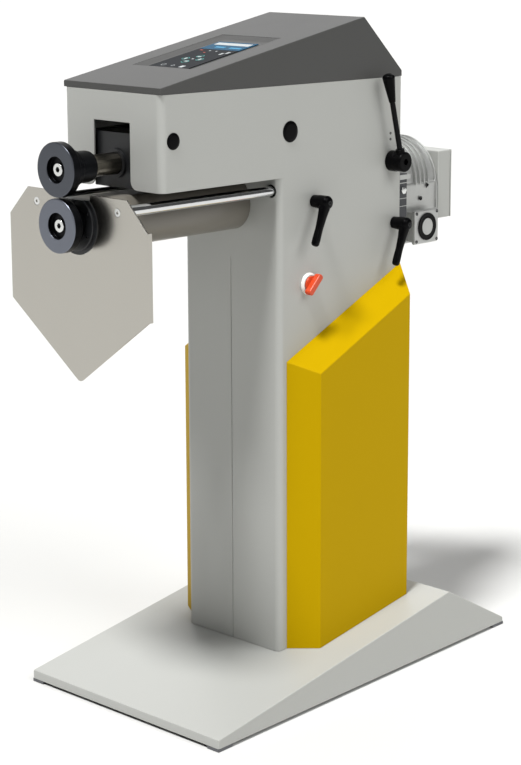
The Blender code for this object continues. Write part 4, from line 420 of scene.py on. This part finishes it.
def softened(name, node, finish, width, segments=2, weld=None, sharp=35):
    # a merged copy of a node's mesh, its flat faces made whole and its sharp edges rounded by a bevel
    nodes = [node] if isinstance(node, str) else list(node)
    work = bmesh.new()
    for one in nodes:
        work.from_mesh(frame["nodes"][one].data)
    bmesh.ops.remove_doubles(work, verts=work.verts, dist=meshLimits["copyMerge"])
    if weld:
        weld(work)
    bmesh.ops.dissolve_limit(work, angle_limit=meshLimits["flat"], verts=work.verts, edges=work.edges)
    work.verts.index_update()
    points = [tuple(v.co) for v in work.verts]
    faces = [[v.index for v in f.verts] for f in work.faces]
    work.free()
    mesh = bpy.data.meshes.new(name)
    mesh.from_pydata(points, [], faces)
    piece = finishPiece(name, mesh, finish, bodyOf[nodes[0]], nodes, sharp)
    edges = piece.modifiers.new("Edges", "BEVEL")
    edges.width = width
    edges.segments = segments
    edges.limit_method = "ANGLE"
    edges.angle_limit = math.radians(meshLimits["bevel"])
    edges.use_clamp_overlap = True
    piece.modifiers.move(1, 0)


bodyOf = {node: body for body, nodes in frame["record"]["behaviour"]["bodies"].items() for node in nodes}


def standIn(name, shells, finish, node, sharp=30, closing="cap"):
    # a piece in place of one node, with that node's body; the node itself is hidden
    makePiece(name, shells, finish, bodyOf[node], node, sharp, closing)


def extra(name, shells, finish, body="machine", sharp=40, closing="cap"):
    # a piece that only the scene has
    makePiece(name, shells, finish, body, (), sharp, closing)


def millimetres(rows, steps=4, closed=False):
    # rows of (along, radius, edge radius) in millimetres to a profile in metres
    return softLine([[value * mm for value in row] for row in rows], steps, closed)


# socket screws by place, in millimetres: the head's radius and height, half the hexagon's width, and how far
# its floor lies below the seat
screwSizes = {"roll": (12, 3.8, 4.6, 6), "gauge": (7.6, 1.6, 2.7, 4), "armCap": (3.2, 2.4, 1.5, 1.6),
              "clamp": (4.4, 0.7, 2.0, 3), "flange": (3.3, 0.9, 1.7, 2.5), "stop": (2.6, 0.8, 1.2, 2),
              "plug": (4.6, 0.8, 2.2, 3)}
# shares of the floor's depth, of the hexagon's half width (shank, mouth, lip) and of the head's height
screwShares = {"length": 1.2, "shank": 1.3, "mouth": 1.25, "lip": 1.02, "crown": 0.3, "chamfer": 0.96}


def hexScrew(place, direction, kind):
    # a head with a hexagon socket, as one profile carried round: shank, rim, crown, socket and floor
    radius, height, socket, depth = (value * mm for value in screwSizes[kind])
    s = screwShares
    outer = softLine([(-depth * s["length"], socket * s["shank"]), (0, socket * s["shank"]), (0, radius),
                      (height, radius, height * s["crown"]), (height, socket * s["mouth"])])
    inner = [(height, socket * s["lip"]), (height * s["chamfer"], socket), (-depth, socket), (-depth, 0)]
    corners = [0] * len(outer) + [1, 1, 1, 0]
    return turned(place, direction, np.concatenate([outer, inner]), 36, corners)


# sheet metal: housing, cover, side covers and base; then the rocker's block and the gear's castings, each
# with the radius of its bent or broken edges
edgeRadii = {"housing": 0.7 * mm, "cover": 1.0 * mm, "side": 0.5 * mm, "base": 0.8 * mm, "tray": 0.4 * mm,
             "rear": 0.6 * mm, "rocker": 0.8 * mm, "gear": 1.6 * mm, "adapter": 1.2 * mm}
# the seam between the halves: where its weld ends, half the groove's width below it, the length over which
# the groove widens, how near the middle plane and the front a point counts as the seam's, and tolerances
seamShape = {"top": 861 * mm, "half": 1.6 * mm, "runout": 14 * mm, "near": 0.4 * mm, "front": 0.1 * mm,
             "slack": 0.01 * mm, "cut": 0.001 * mm, "merge": 0.02 * mm}


def closeSeam(work):
    # the weld is ground flush above a height and left as a groove below it: the halves are cut there and one
    # runout lower; above, their seam faces go and the edges left are merged; below, the front edges part
    s = seamShape
    for level in (s["top"], s["top"] - s["runout"]):
        everything = work.verts[:] + work.edges[:] + work.faces[:]
        bmesh.ops.bisect_plane(work, geom=everything, plane_co=(0, 0, level), plane_no=(0, 0, 1),
                               dist=s["cut"])
    front = min(v.co.y for v in work.verts if v.co.z < s["top"])
    for v in [v for v in work.verts if abs(v.co.x) < s["near"]]:
        if v.co.z > s["top"] - s["slack"]:
            v.co.x = 0
        elif v.co.y < front + s["front"]:
            v.co.x = math.copysign(s["half"], v.co.x)
    inner = [f for f in work.faces if all(abs(v.co.x) < s["slack"] for v in f.verts)]
    bmesh.ops.delete(work, geom=inner, context="FACES_ONLY")
    bmesh.ops.remove_doubles(work, verts=work.verts, dist=s["merge"])


softened("housingShell", ("housing_left", "housing_right"), lightCoat, edgeRadii["housing"], 3, closeSeam)
softened("coverShell", "top_cover", coverCoat, edgeRadii["cover"], 3)
for hand in ("left", "right"):
    softened("sideCover_" + hand, "side_cover_" + hand, yellowCoat, edgeRadii["side"])
softened("baseShell", "base_shell", lightCoat, edgeRadii["base"], 3)
softened("recessTray", "panel_tray", coverCoat, edgeRadii["tray"])
softened("rearPanel", "rear_panel", lightCoat, edgeRadii["rear"])
print("sheet metal done")

# rolls and their screws: a recessed disc, a relief groove and a hub; then the upper roll's neck
# the faces' colours are painted light: both are lighter than the steel as a painted reflection, the lower one
# lighter still as a painted highlight; the sides' colour is blackened steel darkened further as painted shade
rollShape = {"disc": 18 * mm, "rim": 1.8 * mm, "recess": 9 * mm, "recessRadius": 23.8 * mm,
             "recessEdge": 0.8 * mm, "hubRadius": 34 * mm, "hubEdge": 2.2 * mm,
             "hubLength": {"lower": 20 * mm, "upper": 22 * mm}, "groove": 1.4 * mm,
             "grooveEnds": (3 * mm, 4 * mm), "grooveEdges": (0.5 * mm, 0.6 * mm),
             "faces": {"upper": "575A61", "lower": "747882"}, "faceDepth": 0.8 * mm, "scale": "131417"}
neckShape = {"radius": 29 * mm, "lap": 2 * mm, "step": 1.2 * mm, "stepEnds": (6 * mm, 5 * mm),
             "edges": (0.5 * mm, 0.4 * mm, 1.2 * mm)}


def rollProfile(level):
    # centre of the recess, its wall, the face, the rim, a relief groove, the hub and its back face
    s = rollShape
    radius = (high("lower_roll")[2] - low("lower_roll")[2]) / 2
    disc, hub, sunk = s["disc"], s["hubRadius"], s["hubRadius"] - s["groove"]
    near, far = (disc + end for end in s["grooveEnds"])
    inside, outside = s["grooveEdges"]
    back = disc + s["hubLength"][level]
    return softLine([(s["recess"], 0), (s["recess"], s["recessRadius"], s["recessEdge"]),
                     (0, s["recessRadius"], s["recessEdge"]), (0, radius, s["rim"]), (disc, radius, s["rim"]),
                     (disc, sunk, inside), (near, sunk, inside), (far, hub, outside),
                     (back, hub, s["hubEdge"]), (back, 0)], 5)


def neckProfile():
    s = neckShape
    start = rollShape["disc"] + rollShape["hubLength"]["upper"] - s["lap"]
    end = high("upper_roll")[1] - low("upper_roll")[1]
    slim = s["radius"] - s["step"]
    first, second = (end - reach for reach in s["stepEnds"])
    return softLine([(start, 0), (start, s["radius"]), (first, s["radius"], s["edges"][0]),
                     (second, slim, s["edges"][1]), (end, slim, s["edges"][2]), (end, 0)])


rollPlaces = {}
for level in ("lower", "upper"):
    node = level + "_roll"
    centre = middle(node)
    centre[1] = low(node)[1]
    rollPlaces[level] = centre
    # painted light on the blackened steel: the face is painted lighter as a painted reflection, the rim and hub
    # darker as painted shade
    depth = rollShape["faceDepth"]
    look = dict(turnedLooks["burnished"], colour=rollShape["faces"][level])
    look["beyond"] = (("Y", centre[1] + depth, depth, rollShape["scale"]),)
    burnished = lathedFinish(level + "RollSteel", look, "Y", centre)
    standIn(level + "RollTurned", [turned(centre, (0, 1, 0), rollProfile(level), 96)], burnished, node)
    seat = (centre[0], centre[1] + rollShape["recess"], centre[2])
    standIn(level + "RollScrew", [hexScrew(seat, (0, -1, 0), "roll")], zincSteel, node + "_screw", 40)
neck = turned(rollPlaces["upper"], (0, 1, 0), neckProfile(), 72)
standIn("upperRollNeck", [neck], burnished, "upper_roll", 40)
print("rolls done")

# the stop plate with its rods and their sunk screws
gaugeShape = {"edge": 0.5 * mm, "rodEdges": (1 * mm, 1.5 * mm), "sunk": 1.7 * mm}
softened("gaugeSheet", "gauge_plate", brushedSteel, gaugeShape["edge"])
for hand in ("left", "right"):
    node = "guide_rod_" + hand
    start, end, centre = low(node), high(node), middle(node)
    rodSteel = lathedFinish("chromedRod_" + hand, turnedLooks["chrome"], "Y", (centre[0], 0, centre[2]))
    radius, length = (end[2] - start[2]) / 2, end[1] - start[1]
    front, back = gaugeShape["rodEdges"]
    line = softLine([(0, 0), (0, radius, front), (length, radius, back), (length, 0)])
    rod = turned((centre[0], start[1], centre[2]), (0, 1, 0), line, 64)
    standIn("chromeRod_" + hand, [rod], rodSteel, node, 40)
    seat = (centre[0], low("gauge_plate")[1] + gaugeShape["sunk"], centre[2])
    screw = hexScrew(seat, (0, -1, 0), "gauge")
    extra("gaugeScrew_" + hand, [screw], zincSteel, "gauge")
print("gauge done")

# the lower arm, a bored tube with a milled flat, and the bearing's retaining ring in its end
armShape = {"radius": 54 * mm, "flat": 44 * mm, "bore": 24.5 * mm, "edge": 2.5 * mm}
capShape = {"bore": 24.3 * mm, "edge": 1.6 * mm, "rim": 56.4 * mm, "rimOut": 1.5 * mm, "rimEdge": 0.4 * mm,
            "lap": 0.3 * mm, "screws": 6, "screwCircle": 41.5 * mm, "screwSunk": 0.2 * mm}


def flatTopped(start, line, sides, limit):
    # a profile carried round the arm's axis, its height cut off flat: z = min(height of the ring, limit)
    axis = middle("lower_shaft")
    rings = turned((axis[0], start, axis[2]), (0, 1, 0), line, sides)
    rings[..., 2] = np.minimum(rings[..., 2], limit)
    return rings


def lowerArm():
    s = armShape
    start = low("lower_arm")[1]
    length = high("lower_arm")[1] - start
    line = softLine([(0, s["bore"]), (0, s["radius"], s["edge"]), (length, s["radius"]), (length, s["bore"]),
                     (0, s["bore"])], 5)
    rings = flatTopped(start, line, 128, middle("lower_shaft")[2] + s["flat"])
    standIn("armTube", [rings[:-1]], armPaint, "lower_arm", 30, "join")


def armCap():
    s = capShape
    start, end, axis = low("arm_bearing_cap"), high("arm_bearing_cap"), middle("lower_shaft")
    radius, depth, top = axis[2] - start[2], end[1] - start[1], end[2]
    line = softLine([(0, s["bore"]), (0, radius, s["edge"]), (depth, radius), (depth, s["bore"]),
                     (0, s["bore"])])
    rings = flatTopped(start[1], line, 120, top)
    standIn("armCap", [rings[:-1]], blackPaint, "arm_bearing_cap", 30, "join")
    # the ring's thin flange closes the gap round the arm's end
    inside = radius - s["lap"]
    rim = softLine([(-s["rimOut"], inside), (-s["rimOut"], s["rim"], s["rimEdge"]), (-s["lap"], s["rim"]),
                    (-s["lap"], inside)], 3)
    flange = flatTopped(low("lower_arm")[1], rim, 120, top)
    extra("armCapFlange", [flange], blackPaint, sharp=30, closing="join")
    screws = []
    for turn in (np.arange(s["screws"]) + 0.5) * 2 * math.pi / s["screws"]:
        across, over = s["screwCircle"] * math.cos(turn), s["screwCircle"] * math.sin(turn)
        seat = (axis[0] + across, start[1] + s["screwSunk"], axis[2] + over)
        screws.append(hexScrew(seat, (0, -1, 0), "armCap"))
    extra("armCapScrews", screws, blackOxide)


lowerArm()
armCap()
print("arm done")

# the rocker's nose behind the slot
softened("rockerBlock", "spindle_front_block", blackPaint, edgeRadii["rocker"])
print("rocker done")

# plugs in the housing's sides: a shank, a thin rim and a low dome
plugShape = {"lift": 0.1 * mm, "shank": 6 * mm, "step": 4 * mm, "rim": 0.7 * mm,
             "rimEdges": (0.2 * mm, 0.5 * mm), "dome": 2.2 * mm, "domeShare": 0.72, "domeEdge": 6 * mm,
             "top": 2.6 * mm}


def plugProfile(radius):
    s = plugShape
    slim, (back, front) = radius - s["step"], s["rimEdges"]
    return softLine([(-s["shank"], 0), (-s["shank"], slim), (0, slim), (0, radius, back),
                     (s["rim"], radius, front), (s["dome"], radius * s["domeShare"], s["domeEdge"]),
                     (s["top"], 0)])


for kind in ("head_plug", "pivot_cap"):
    for hand, sign in (("left", -1), ("right", 1)):
        node = kind + "_" + hand
        centre = middle(node)
        line = plugProfile((high(node)[2] - low(node)[2]) / 2)
        place = (sign * (high("housing_right")[0] + plugShape["lift"]), centre[1], centre[2])
        standIn("wallPlug_" + node, [turned(place, (sign, 0, 0), line, 64)], nylon, node)
print("plugs done")

# the lever that opens the rolls: its hub along X, then collar, rod and grip along the leaning rod
openingShape = {
    "hubRadius": 21.2 * mm, "hubSlim": 0.97, "hubStep": (0.42, 0.44),
    "hubEdges": (0.8 * mm, 0.6 * mm, 3.4 * mm), "socket": 6.2 * mm, "socketMouth": 1.3, "socketDepth": 6 * mm,
    "lean": math.radians(14.4), "out": 27 * mm,
    "collar": [(16.96, 0), (16.96, 9.5), (27.2, 9, 1.2), (27.2, 0)],
    "rod": [(21.2, 0), (21.2, 5.5), (132, 5.5), (132, 0)], "rodColour": "141416", "rodPitch": 1.4,
    "grip": [(126, 0), (126, 6.624, 1), (131, 7.2, 4), (177, 12.8, 5), (182, 11.008, 4), (184, 7.04, 4),
             (184, 0)],
}


def openingLever():
    s = openingShape
    wall = low("lever_hub")[0]
    end = high("lever_hub")[0] - wall
    centre = middle("lever_hub")
    radius, slim = s["hubRadius"], s["hubRadius"] * s["hubSlim"]
    before, after = (end * share for share in s["hubStep"])
    foot, step, face = s["hubEdges"]
    outer = softLine([(0, 0), (0, radius, foot), (before, radius, step), (after, slim, step),
                      (end, slim, face), (end, s["socket"] * s["socketMouth"])], 5)
    floor = end - s["socketDepth"]
    profile = np.concatenate([outer, [(end, s["socket"]), (floor, s["socket"]), (floor, 0)]])
    hub = turned((wall, centre[1], centre[2]), (1, 0, 0), profile, 72, [0] * len(outer) + [1, 1, 0])
    standIn("leverHub", [hub], nylon, "lever_hub")
    lean = np.array((0, -math.sin(s["lean"]), math.cos(s["lean"])))
    root = np.array((wall + s["out"], centre[1], centre[2]))
    collar = turned(root, lean, millimetres(s["collar"]), 48)
    extra("leverCollar", [collar], nylon, "opening_lever")
    look = dict(turnedLooks["burnished"], colour=s["rodColour"], pitch=s["rodPitch"])
    rodFinish = lathedFinish("blackenedRod", look, "Z", root)
    standIn("leverRod", [turned(root, lean, millimetres(s["rod"]), 40)], rodFinish, "lever_rod", 40)
    standIn("leverGrip", [turned(root, lean, millimetres(s["grip"], 6), 56)], nylon, "lever_grip")


# pieces that turn on the housing's side stand this far off it
wallGap = 0.3 * mm
clampShape = {
    "hub": [(-14, 0), (-14, 6), (0, 6), (0, 12.15, 0.8), (4, 12.42, 2), (16.2, 13.5, 6), (36, 13.5, 2),
            (40.2, 10.8, 4), (42, 4.725, 2), (42, 0)],
    "root": 30 * mm, "screw": 41.4 * mm, "lean": math.radians(25), "length": 89 * mm, "out": 6 * mm,
    # half sizes in millimetres: wide at the elbow, waisted, slightly flared and rounded at the tip
    "share": (0, 0.12, 0.3, 0.6, 0.85, 0.94, 0.97, 0.99, 1.0),
    "wide": (11.5, 11.0, 9.0, 7.4, 7.9, 7.6, 6.6, 4.8, 0.01),
    "deep": (9.0, 9.0, 7.4, 6.2, 6.8, 6.5, 5.6, 4.0, 0.01),
}


def clampingLever(name, node):
    # a hub on the joint's axis, and a handle that hangs from it and leans out with its share to the power 0.8
    s = clampShape
    body = bodyOf[node]
    joint = next(j for j in frame["joints"] if j["name"] == body + "_turn")
    wall, (y, z) = high("housing_right")[0] + wallGap, joint["pos_m"][1:]
    hub = turned((wall, y, z), (1, 0, 0), millimetres(s["hub"], 5), 56)
    hang = np.array((0, -math.sin(s["lean"]), -math.cos(s["lean"])))
    share = np.concatenate([[0], np.linspace(0.02, 0.9, 16), s["share"][-4:]])
    path = np.array((wall + s["root"], y, z)) + share[:, None] * s["length"] * hang
    path = path + (share ** 0.8)[:, None] * np.array((s["out"], 0, 0))
    wide, deep = (np.interp(share, s["share"], s[key]) * mm for key in ("wide", "deep"))
    handle = swept(path, wide, deep, (1, 0, 0), 40, 3.0)
    standIn(name, [hub, handle], nylon, node)
    cap = hexScrew((wall + s["screw"], y, z), (1, 0, 0), "clamp")
    extra(name + "Screw", [cap], blackOxide, body)


openingLever()
clampingLever("frontClamp", "clamp_lever_front")
clampingLever("rearClamp", "clamp_lever_rear")
print("levers done")

# the main switch: a white plate on the wall, and on it a low knob with a leaning paddle
switchShape = {
    "plate": [(-25, 0), (-25, 9.8), (0, 9.8), (0, 22, 0.6), (3.3, 22, 1.2), (6, 18.48, 1.2), (6, 16.96, 0.3),
              (5, 16.8), (5, 0)],
    "knob": [(0, 0), (0, 15.6), (3.4, 15.6, 1.2), (4, 0)], "face": 6.3 * mm, "lean": math.radians(45),
    "paddleRoot": 1.5 * mm, "paddleHalf": (6.5 * mm, 24 * mm), "paddleTall": 14.5 * mm,
    "paddleCorner": 5.5 * mm, "paddleEdge": 2.2 * mm,
}


def mainSwitch():
    s = switchShape
    wall, (y, z) = high("housing_right")[0] + wallGap, middle("switch_bezel")[1:]
    plate = turned((wall, y, z), (1, 0, 0), millimetres(s["plate"]), 72)
    standIn("switchPlate", [plate], whitePlastic, "switch_bezel")
    face = wall + s["face"]
    knob = turned((face, y, z), (1, 0, 0), millimetres(s["knob"]), 64)
    up = (0, math.sin(s["lean"]), math.cos(s["lean"]))
    paddle = block((face + s["paddleRoot"], y, z), (1, 0, 0), up, s["paddleHalf"], s["paddleTall"],
                   s["paddleCorner"], s["paddleEdge"], 5)
    standIn("switchPaddle", [knob, paddle], signalPlastic, "switch_knob")


mainSwitch()
print("switch done")

# worm gear, motor and drive box
sealLine = [(0, 18), (0, 29, 0.6), (3, 29, 1.2), (2.2, 23, 1), (3, 18, 0.6)]
softened("gearHousing", "gearbox_housing", castAluminium, edgeRadii["gear"], 3, None, 40)
sealPlace = (low("worm_seal_ring")[0], *middle("worm_seal_ring")[1:])
sealRing = turned(sealPlace, (1, 0, 0), millimetres(sealLine, 3, True), 72)
standIn("sealRing", [sealRing], rubber, "worm_seal_ring", 30, "join")
softened("adapterPlate", "gear_adapter", darkCasting, edgeRadii["adapter"])
# the cast bead over the gear housing's dome; its feet end above the housing's bottom
beadShape = {"wide": 1.6 * mm, "deep": 3.0 * mm, "radius": 87.5 * mm, "skirtHalf": 92 * mm,
             "fromRear": 13 * mm, "foot": 30 * mm}
# details on the drive: places as (y, z) or a height, "in" measured back from a piece's side
driveShape = {
    "flange": (33.5 * mm, 29.5 * mm), "flangeIn": 0.2 * mm, "skirtIn": 24 * mm, "plug": (398 * mm, 931 * mm),
    "pocketShade": (419 * mm, 957 * mm), "pocketLine": [(0, 0), (0, 7), (0.5, 7), (0.5, 0)],
    "stops": (254 * mm, (1070 * mm, 1082 * mm)),
    "bolt": 960 * mm, "boltBack": 12 * mm, "boltIn": 0.3 * mm,
    "boltLine": [(0, 0), (0, 7.0), (3.6, 7.0), (4.4, 5.9), (4.4, 0)],
    # each ledge's height and half its thickness; then how far it stays within the adapter and sinks into it
    "ledges": ((987 * mm, 5 * mm), (975 * mm, 0.9 * mm), (943 * mm, 0.7 * mm), (927 * mm, 0.7 * mm)),
    "ledgeShort": 1.4 * mm, "ledgeIn": 0.4 * mm, "ledgeBlock": (0.8 * mm, 0.6 * mm, 0.2 * mm, 2),
}


def archRim():
    # a cast bead that runs up the skirt, over the dome and down again; the skirt is a little broader
    s = beadShape
    rear = high("gearbox_housing")[1] - s["fromRear"]
    axis = middle("lower_shaft")[2]
    foot = low("gearbox_housing")[2] + s["foot"]
    turn = np.linspace(0, math.pi, 49)
    rise = np.linspace(0, 1, 9)[:-1]
    arc = np.stack([s["radius"] * np.cos(turn), s["radius"] * np.sin(turn)], 1)
    right = np.stack([np.full(len(rise), s["skirtHalf"]), (foot - axis) * (1 - rise)], 1)
    left = (right * (-1, 1))[::-1]
    outline = np.concatenate([right, arc[3:-3], left])
    path = np.stack([outline[:, 0], np.full(len(outline), rear), outline[:, 1] + axis], 1)
    return swept(path, np.full(len(path), s["deep"]), np.full(len(path), s["wide"]), (0, 1, 0), 16, 3.0)


def gearScrews():
    # four on each side's flange, two small ones on the housing's side and the plug in the skirt
    s = driveShape
    side, y, z = low("worm_seal_ring")[0], *middle("worm_seal_ring")[1:]
    screws = []
    for sign in (1, -1):
        for behind in (-1, 1):
            for over in (-1, 1):
                seat = (sign * (side - s["flangeIn"]), y + behind * s["flange"][0], z + over * s["flange"][1])
                screws.append(hexScrew(seat, (sign, 0, 0), "flange"))
    for height in s["stops"][1]:
        screws.append(hexScrew((high("housing_right")[0], s["stops"][0], height), (1, 0, 0), "stop"))
    skirt = high("gearbox_housing")[0] - s["skirtIn"]
    screws.append(hexScrew((skirt, *s["plug"]), (1, 0, 0), "plug"))
    extra("gearScrews", screws, blackOxide)


def driveDetails():
    s = driveShape
    extra("gearRim", [archRim()], castAluminium)
    gearScrews()
    start, end = low("gear_adapter"), high("gear_adapter")
    bolts, ledges = [], []
    for side in (-1, 1):
        seat = (side * (end[0] - s["boltIn"]), start[1] + s["boltBack"], s["bolt"])
        bolts.append(turned(seat, (side, 0, 0), millimetres(s["boltLine"]), 36, [0, 1, 1, 0, 0]))
        for height, tall in s["ledges"]:
            seat = (side * (end[0] - s["ledgeIn"]), (start[1] + end[1]) / 2, height)
            half = ((end[1] - start[1]) / 2 - s["ledgeShort"], tall)
            ledges.append(block(seat, (side, 0, 0), (0, 0, 1), half, *s["ledgeBlock"]))
    extra("adapterBolts", bolts, zincSteel)
    extra("adapterLedges", ledges, castAluminium)
    # a three-sided hollow in the casting, drawn as a flat dark patch of painted shade instead of a recess
    skirt = high("gearbox_housing")[0] - s["skirtIn"]
    pocketShade = turned((skirt, *s["pocketShade"]), (1, 0, 0), millimetres(s["pocketLine"]), 3)
    extra("pocketShadePatch", [pocketShade], rubber)


driveDetails()
for name, node, finish, edge in (("driveBox", "drive_box", lightCoat, 0.3),
                                 ("driveLid", "drive_box_lid", lightCoat, 0.4),
                                 ("motorShell", "motor_body", motorPaint, 0.6),
                                 ("fanCover", "motor_fan_cover", motorPaint, 0.5),
                                 ("cableGland", "cable_gland", nylon, 0.4)):
    softened(name, node, finish, edge * mm)
print("drive done")

# prints on the keypad and the display: plain shapes in place of the maker's symbols; each row is
# the share across, the share along, then half the width and half the length in millimetres
panelPrints = {
    "Bars": (whiteInk, "control_keypad", [
        (0.76, 0.08, 5, 6), (0.82, 0.80, 3, 6), (0.90, 0.87, 3, 6), (0.38, 0.92, 1.6, 2.4),
        (0.56, 0.91, 1.6, 2.4), (0.34, 0.47, 2.6, 4.6), (0.70, 0.47, 2.6, 4.6), (0.52, 0.34, 4.6, 2.6),
        (0.52, 0.60, 4.6, 2.6), (0.52, 0.47, 2.2, 2.2)]),
    "Reds": (redInk, "control_keypad", [(0.15, 0.93, 3.2, 1.8), (0.36, 0.82, 2.6, 1.5)]),
    "Sky": (skyInk, "control_display", [(0.38, 0.30, 13, 4), (0.78, 0.27, 15, 4)]),
    "Page": (whiteInk, "control_display", [(0.50, 0.72, 46, 8)]),
}
# rings: the share across, the share along, the radius in millimetres
panelRings = {"White": (whiteInk, [(0.25, 0.11, 5.5), (0.50, 0.10, 4.0)]),
              "Teal": (tealInk, [(0.34, 0.47, 8.0), (0.70, 0.47, 8.0), (0.52, 0.32, 8.0), (0.52, 0.62, 8.0)])}
# the plates' thickness, how far a print stands out of and reaches into its plate, the rings' stroke and
# the bars' corner and edge radii
printShape = {"plate": 1.5 * mm, "ink": 0.12 * mm, "sunk": 0.4 * mm, "stroke": 1.0 * mm, "corner": 0.8 * mm,
              "edge": 0.05 * mm}


def panelPlace(node, across, along):
    # a spot on a plate that lies on the cover's slope, and the slope's own directions
    slope = middle("control_display") - middle("control_keypad")
    slope /= np.linalg.norm(slope)
    normal = np.cross((1, 0, 0), slope)
    start, end = low(node), high(node)
    length = (end[1] - start[1] - printShape["plate"] * abs(normal[1])) / slope[1]
    spot = middle(node) + normal * printShape["plate"] / 2
    spot = spot + (across - 0.5) * (end[0] - start[0]) * np.array((1, 0, 0)) + (along - 0.5) * length * slope
    return spot, slope, normal


def panelArt():
    s = printShape
    for label, (finish, node, rows) in panelPrints.items():
        shells = []
        for across, along, wide, long in rows:
            spot, slope, normal = panelPlace(node, across, along)
            shells.append(block(spot - normal * s["sunk"], normal, slope, (wide * mm, long * mm),
                                s["sunk"] + s["ink"], s["corner"], s["edge"], 2))
        extra("panel" + label, shells, finish)
    for label, (finish, rows) in panelRings.items():
        shells = []
        for across, along, radius in rows:
            spot, slope, normal = panelPlace("control_keypad", across, along)
            outer, inner = radius * mm, radius * mm - s["stroke"]
            line = [(-s["sunk"], inner), (-s["sunk"], outer), (s["ink"], outer), (s["ink"], inner)]
            shells.append(turned(spot, normal, line, 40))
        extra("panelRings" + label, shells, finish, closing="join")


panelArt()
print("panel printed")

# everything that the frame still shows; what isn't named here is ground steel
kept = {"base_frame": framePaint, "control_keypad": membrane, "control_display": screenBlue,
        "bearing_bulkhead": darkCasting, "rod_guide_left": castAluminium, "rod_guide_right": castAluminium,
        "rear_clamp_block": castAluminium, "rocker_plate_right": blackPaint, "rocker_plate_left": blackPaint,
        "spindle_rear_block": blackPaint, "rocker_tail_block": blackPaint}
shaftSteel = lathedFinish("shaftSteel", turnedLooks["ground"], "Y", rollPlaces["lower"])
for name, node in frame["nodes"].items():
    if node.hide_render:
        continue
    finish = kept.get(name, shaftSteel)
    for holder in node.material_slots:
        holder.material = finish
    if not node.material_slots:
        node.data.materials.append(finish)
print("kept nodes painted")

# the camera: focal length and centre in pixels, angles in degrees, then metres along the view, to the
# right and up from a target inside the machine; the picture's longer side takes the sensor's full width
cameraPlace = {"focal": 1901.56, "centre": (426.75, 298.9), "picture": (521, 765), "sensor": 36,
               "yaw": 38.706, "pitch": 11.068, "roll": 0.785,
               "distance": 3.8012, "right": 0.3563, "up": 0.16577, "target": (0, -0.030, 0.600)}


def placeCamera():
    s = cameraPlace
    wide, tall = s["picture"]
    yaw, pitch, roll = np.radians([s["yaw"], s["pitch"], s["roll"]])
    back = np.array([math.sin(yaw) * math.cos(pitch), -math.cos(yaw) * math.cos(pitch), math.sin(pitch)])
    right = np.cross(-back, (0, 0, 1))
    right /= np.linalg.norm(right)
    up = np.cross(right, -back)
    place = np.array(s["target"]) + back * s["distance"] + right * s["right"] + up * s["up"]
    turnedRight = math.cos(roll) * right + math.sin(roll) * up
    turnedUp = -math.sin(roll) * right + math.cos(roll) * up
    data = bpy.data.cameras.new("camera")
    data.sensor_width = s["sensor"]
    data.lens = s["focal"] * s["sensor"] / tall
    data.shift_x = (wide / 2 - s["centre"][0]) / tall
    data.shift_y = (s["centre"][1] - tall / 2) / tall
    data.dof.use_dof = False
    data.clip_end = 200
    camera = bpy.data.objects.new("camera", data)
    scene.collection.objects.link(camera)
    pose = np.eye(4)
    pose[:3] = np.stack([turnedRight, turnedUp, back, place], 1)
    camera.matrix_world = Matrix(pose.tolist())
    scene.camera = camera


placeCamera()

# floor and light: the floor's rings in metres, each sun's direction back to it, its strength and its angle in
# degrees, and the white of the walls and of what stands behind
floorShape = {"drop": 0.5 * mm, "rings": (0, 2, 8, 60), "sides": 64}
floorLook = {"colour": "D6D6D4", "roughness": 0.8, "ior": 1.45, "grain": 4, "cloud": 400, "relief": 0.02,
             "tone": 0.01}
lights = {"overhead": ((0.08, -0.54, 1.2), 3.9, 12), "side": ((1, 0.12, 0.75), 1.4, 40),
          "back": ((-0.65, 0.6, 0.47), 0.8, 60), "walls": 0.08, "backdrop": 1.0}


def makeFloor():
    s = floorShape
    rings = turned((0, 0, -s["drop"]), (0, 0, 1), [(0, radius) for radius in s["rings"]], s["sides"])
    mesh = bpy.data.meshes.new("floor")
    mesh.from_pydata(rings.reshape(-1, 3).tolist(), [], gridFaces(len(s["rings"]), s["sides"]))
    mesh.materials.append(grainyFinish("paleFloor", floorLook))
    floor = bpy.data.objects.new("floor", mesh)
    scene.collection.objects.link(floor)


def addSun(name, direction, strength, angle):
    # a wide soft source so far away that it lights the whole floor alike
    data = bpy.data.lights.new(name, "SUN")
    data.energy = strength
    data.angle = math.radians(angle)
    light = bpy.data.objects.new(name, data)
    scene.collection.objects.link(light)
    light.rotation_mode = "QUATERNION"
    light.rotation_quaternion = Vector(direction).to_track_quat("Z", "Y")


def makeWorld():
    # white behind the object, and a weaker white for what the studio walls send back
    world = bpy.data.worlds.new("studio")
    world.use_nodes = True
    tree = world.node_tree
    back = tree.nodes["Background"]
    seen = addNode(tree, "LightPath").outputs["Is Camera Ray"]
    strength = addNode(tree, "MapRange", {}, {0: seen, 3: lights["walls"], 4: lights["backdrop"]})
    back.inputs["Color"].default_value = toLinear("FFFFFF")
    tree.links.new(strength.outputs[0], back.inputs["Strength"])
    scene.world = world


makeFloor()
for source in ("overhead", "side", "back"):
    addSun(source, *lights[source])
makeWorld()
scene.view_settings.view_transform = "Standard"
print("camera and light done")
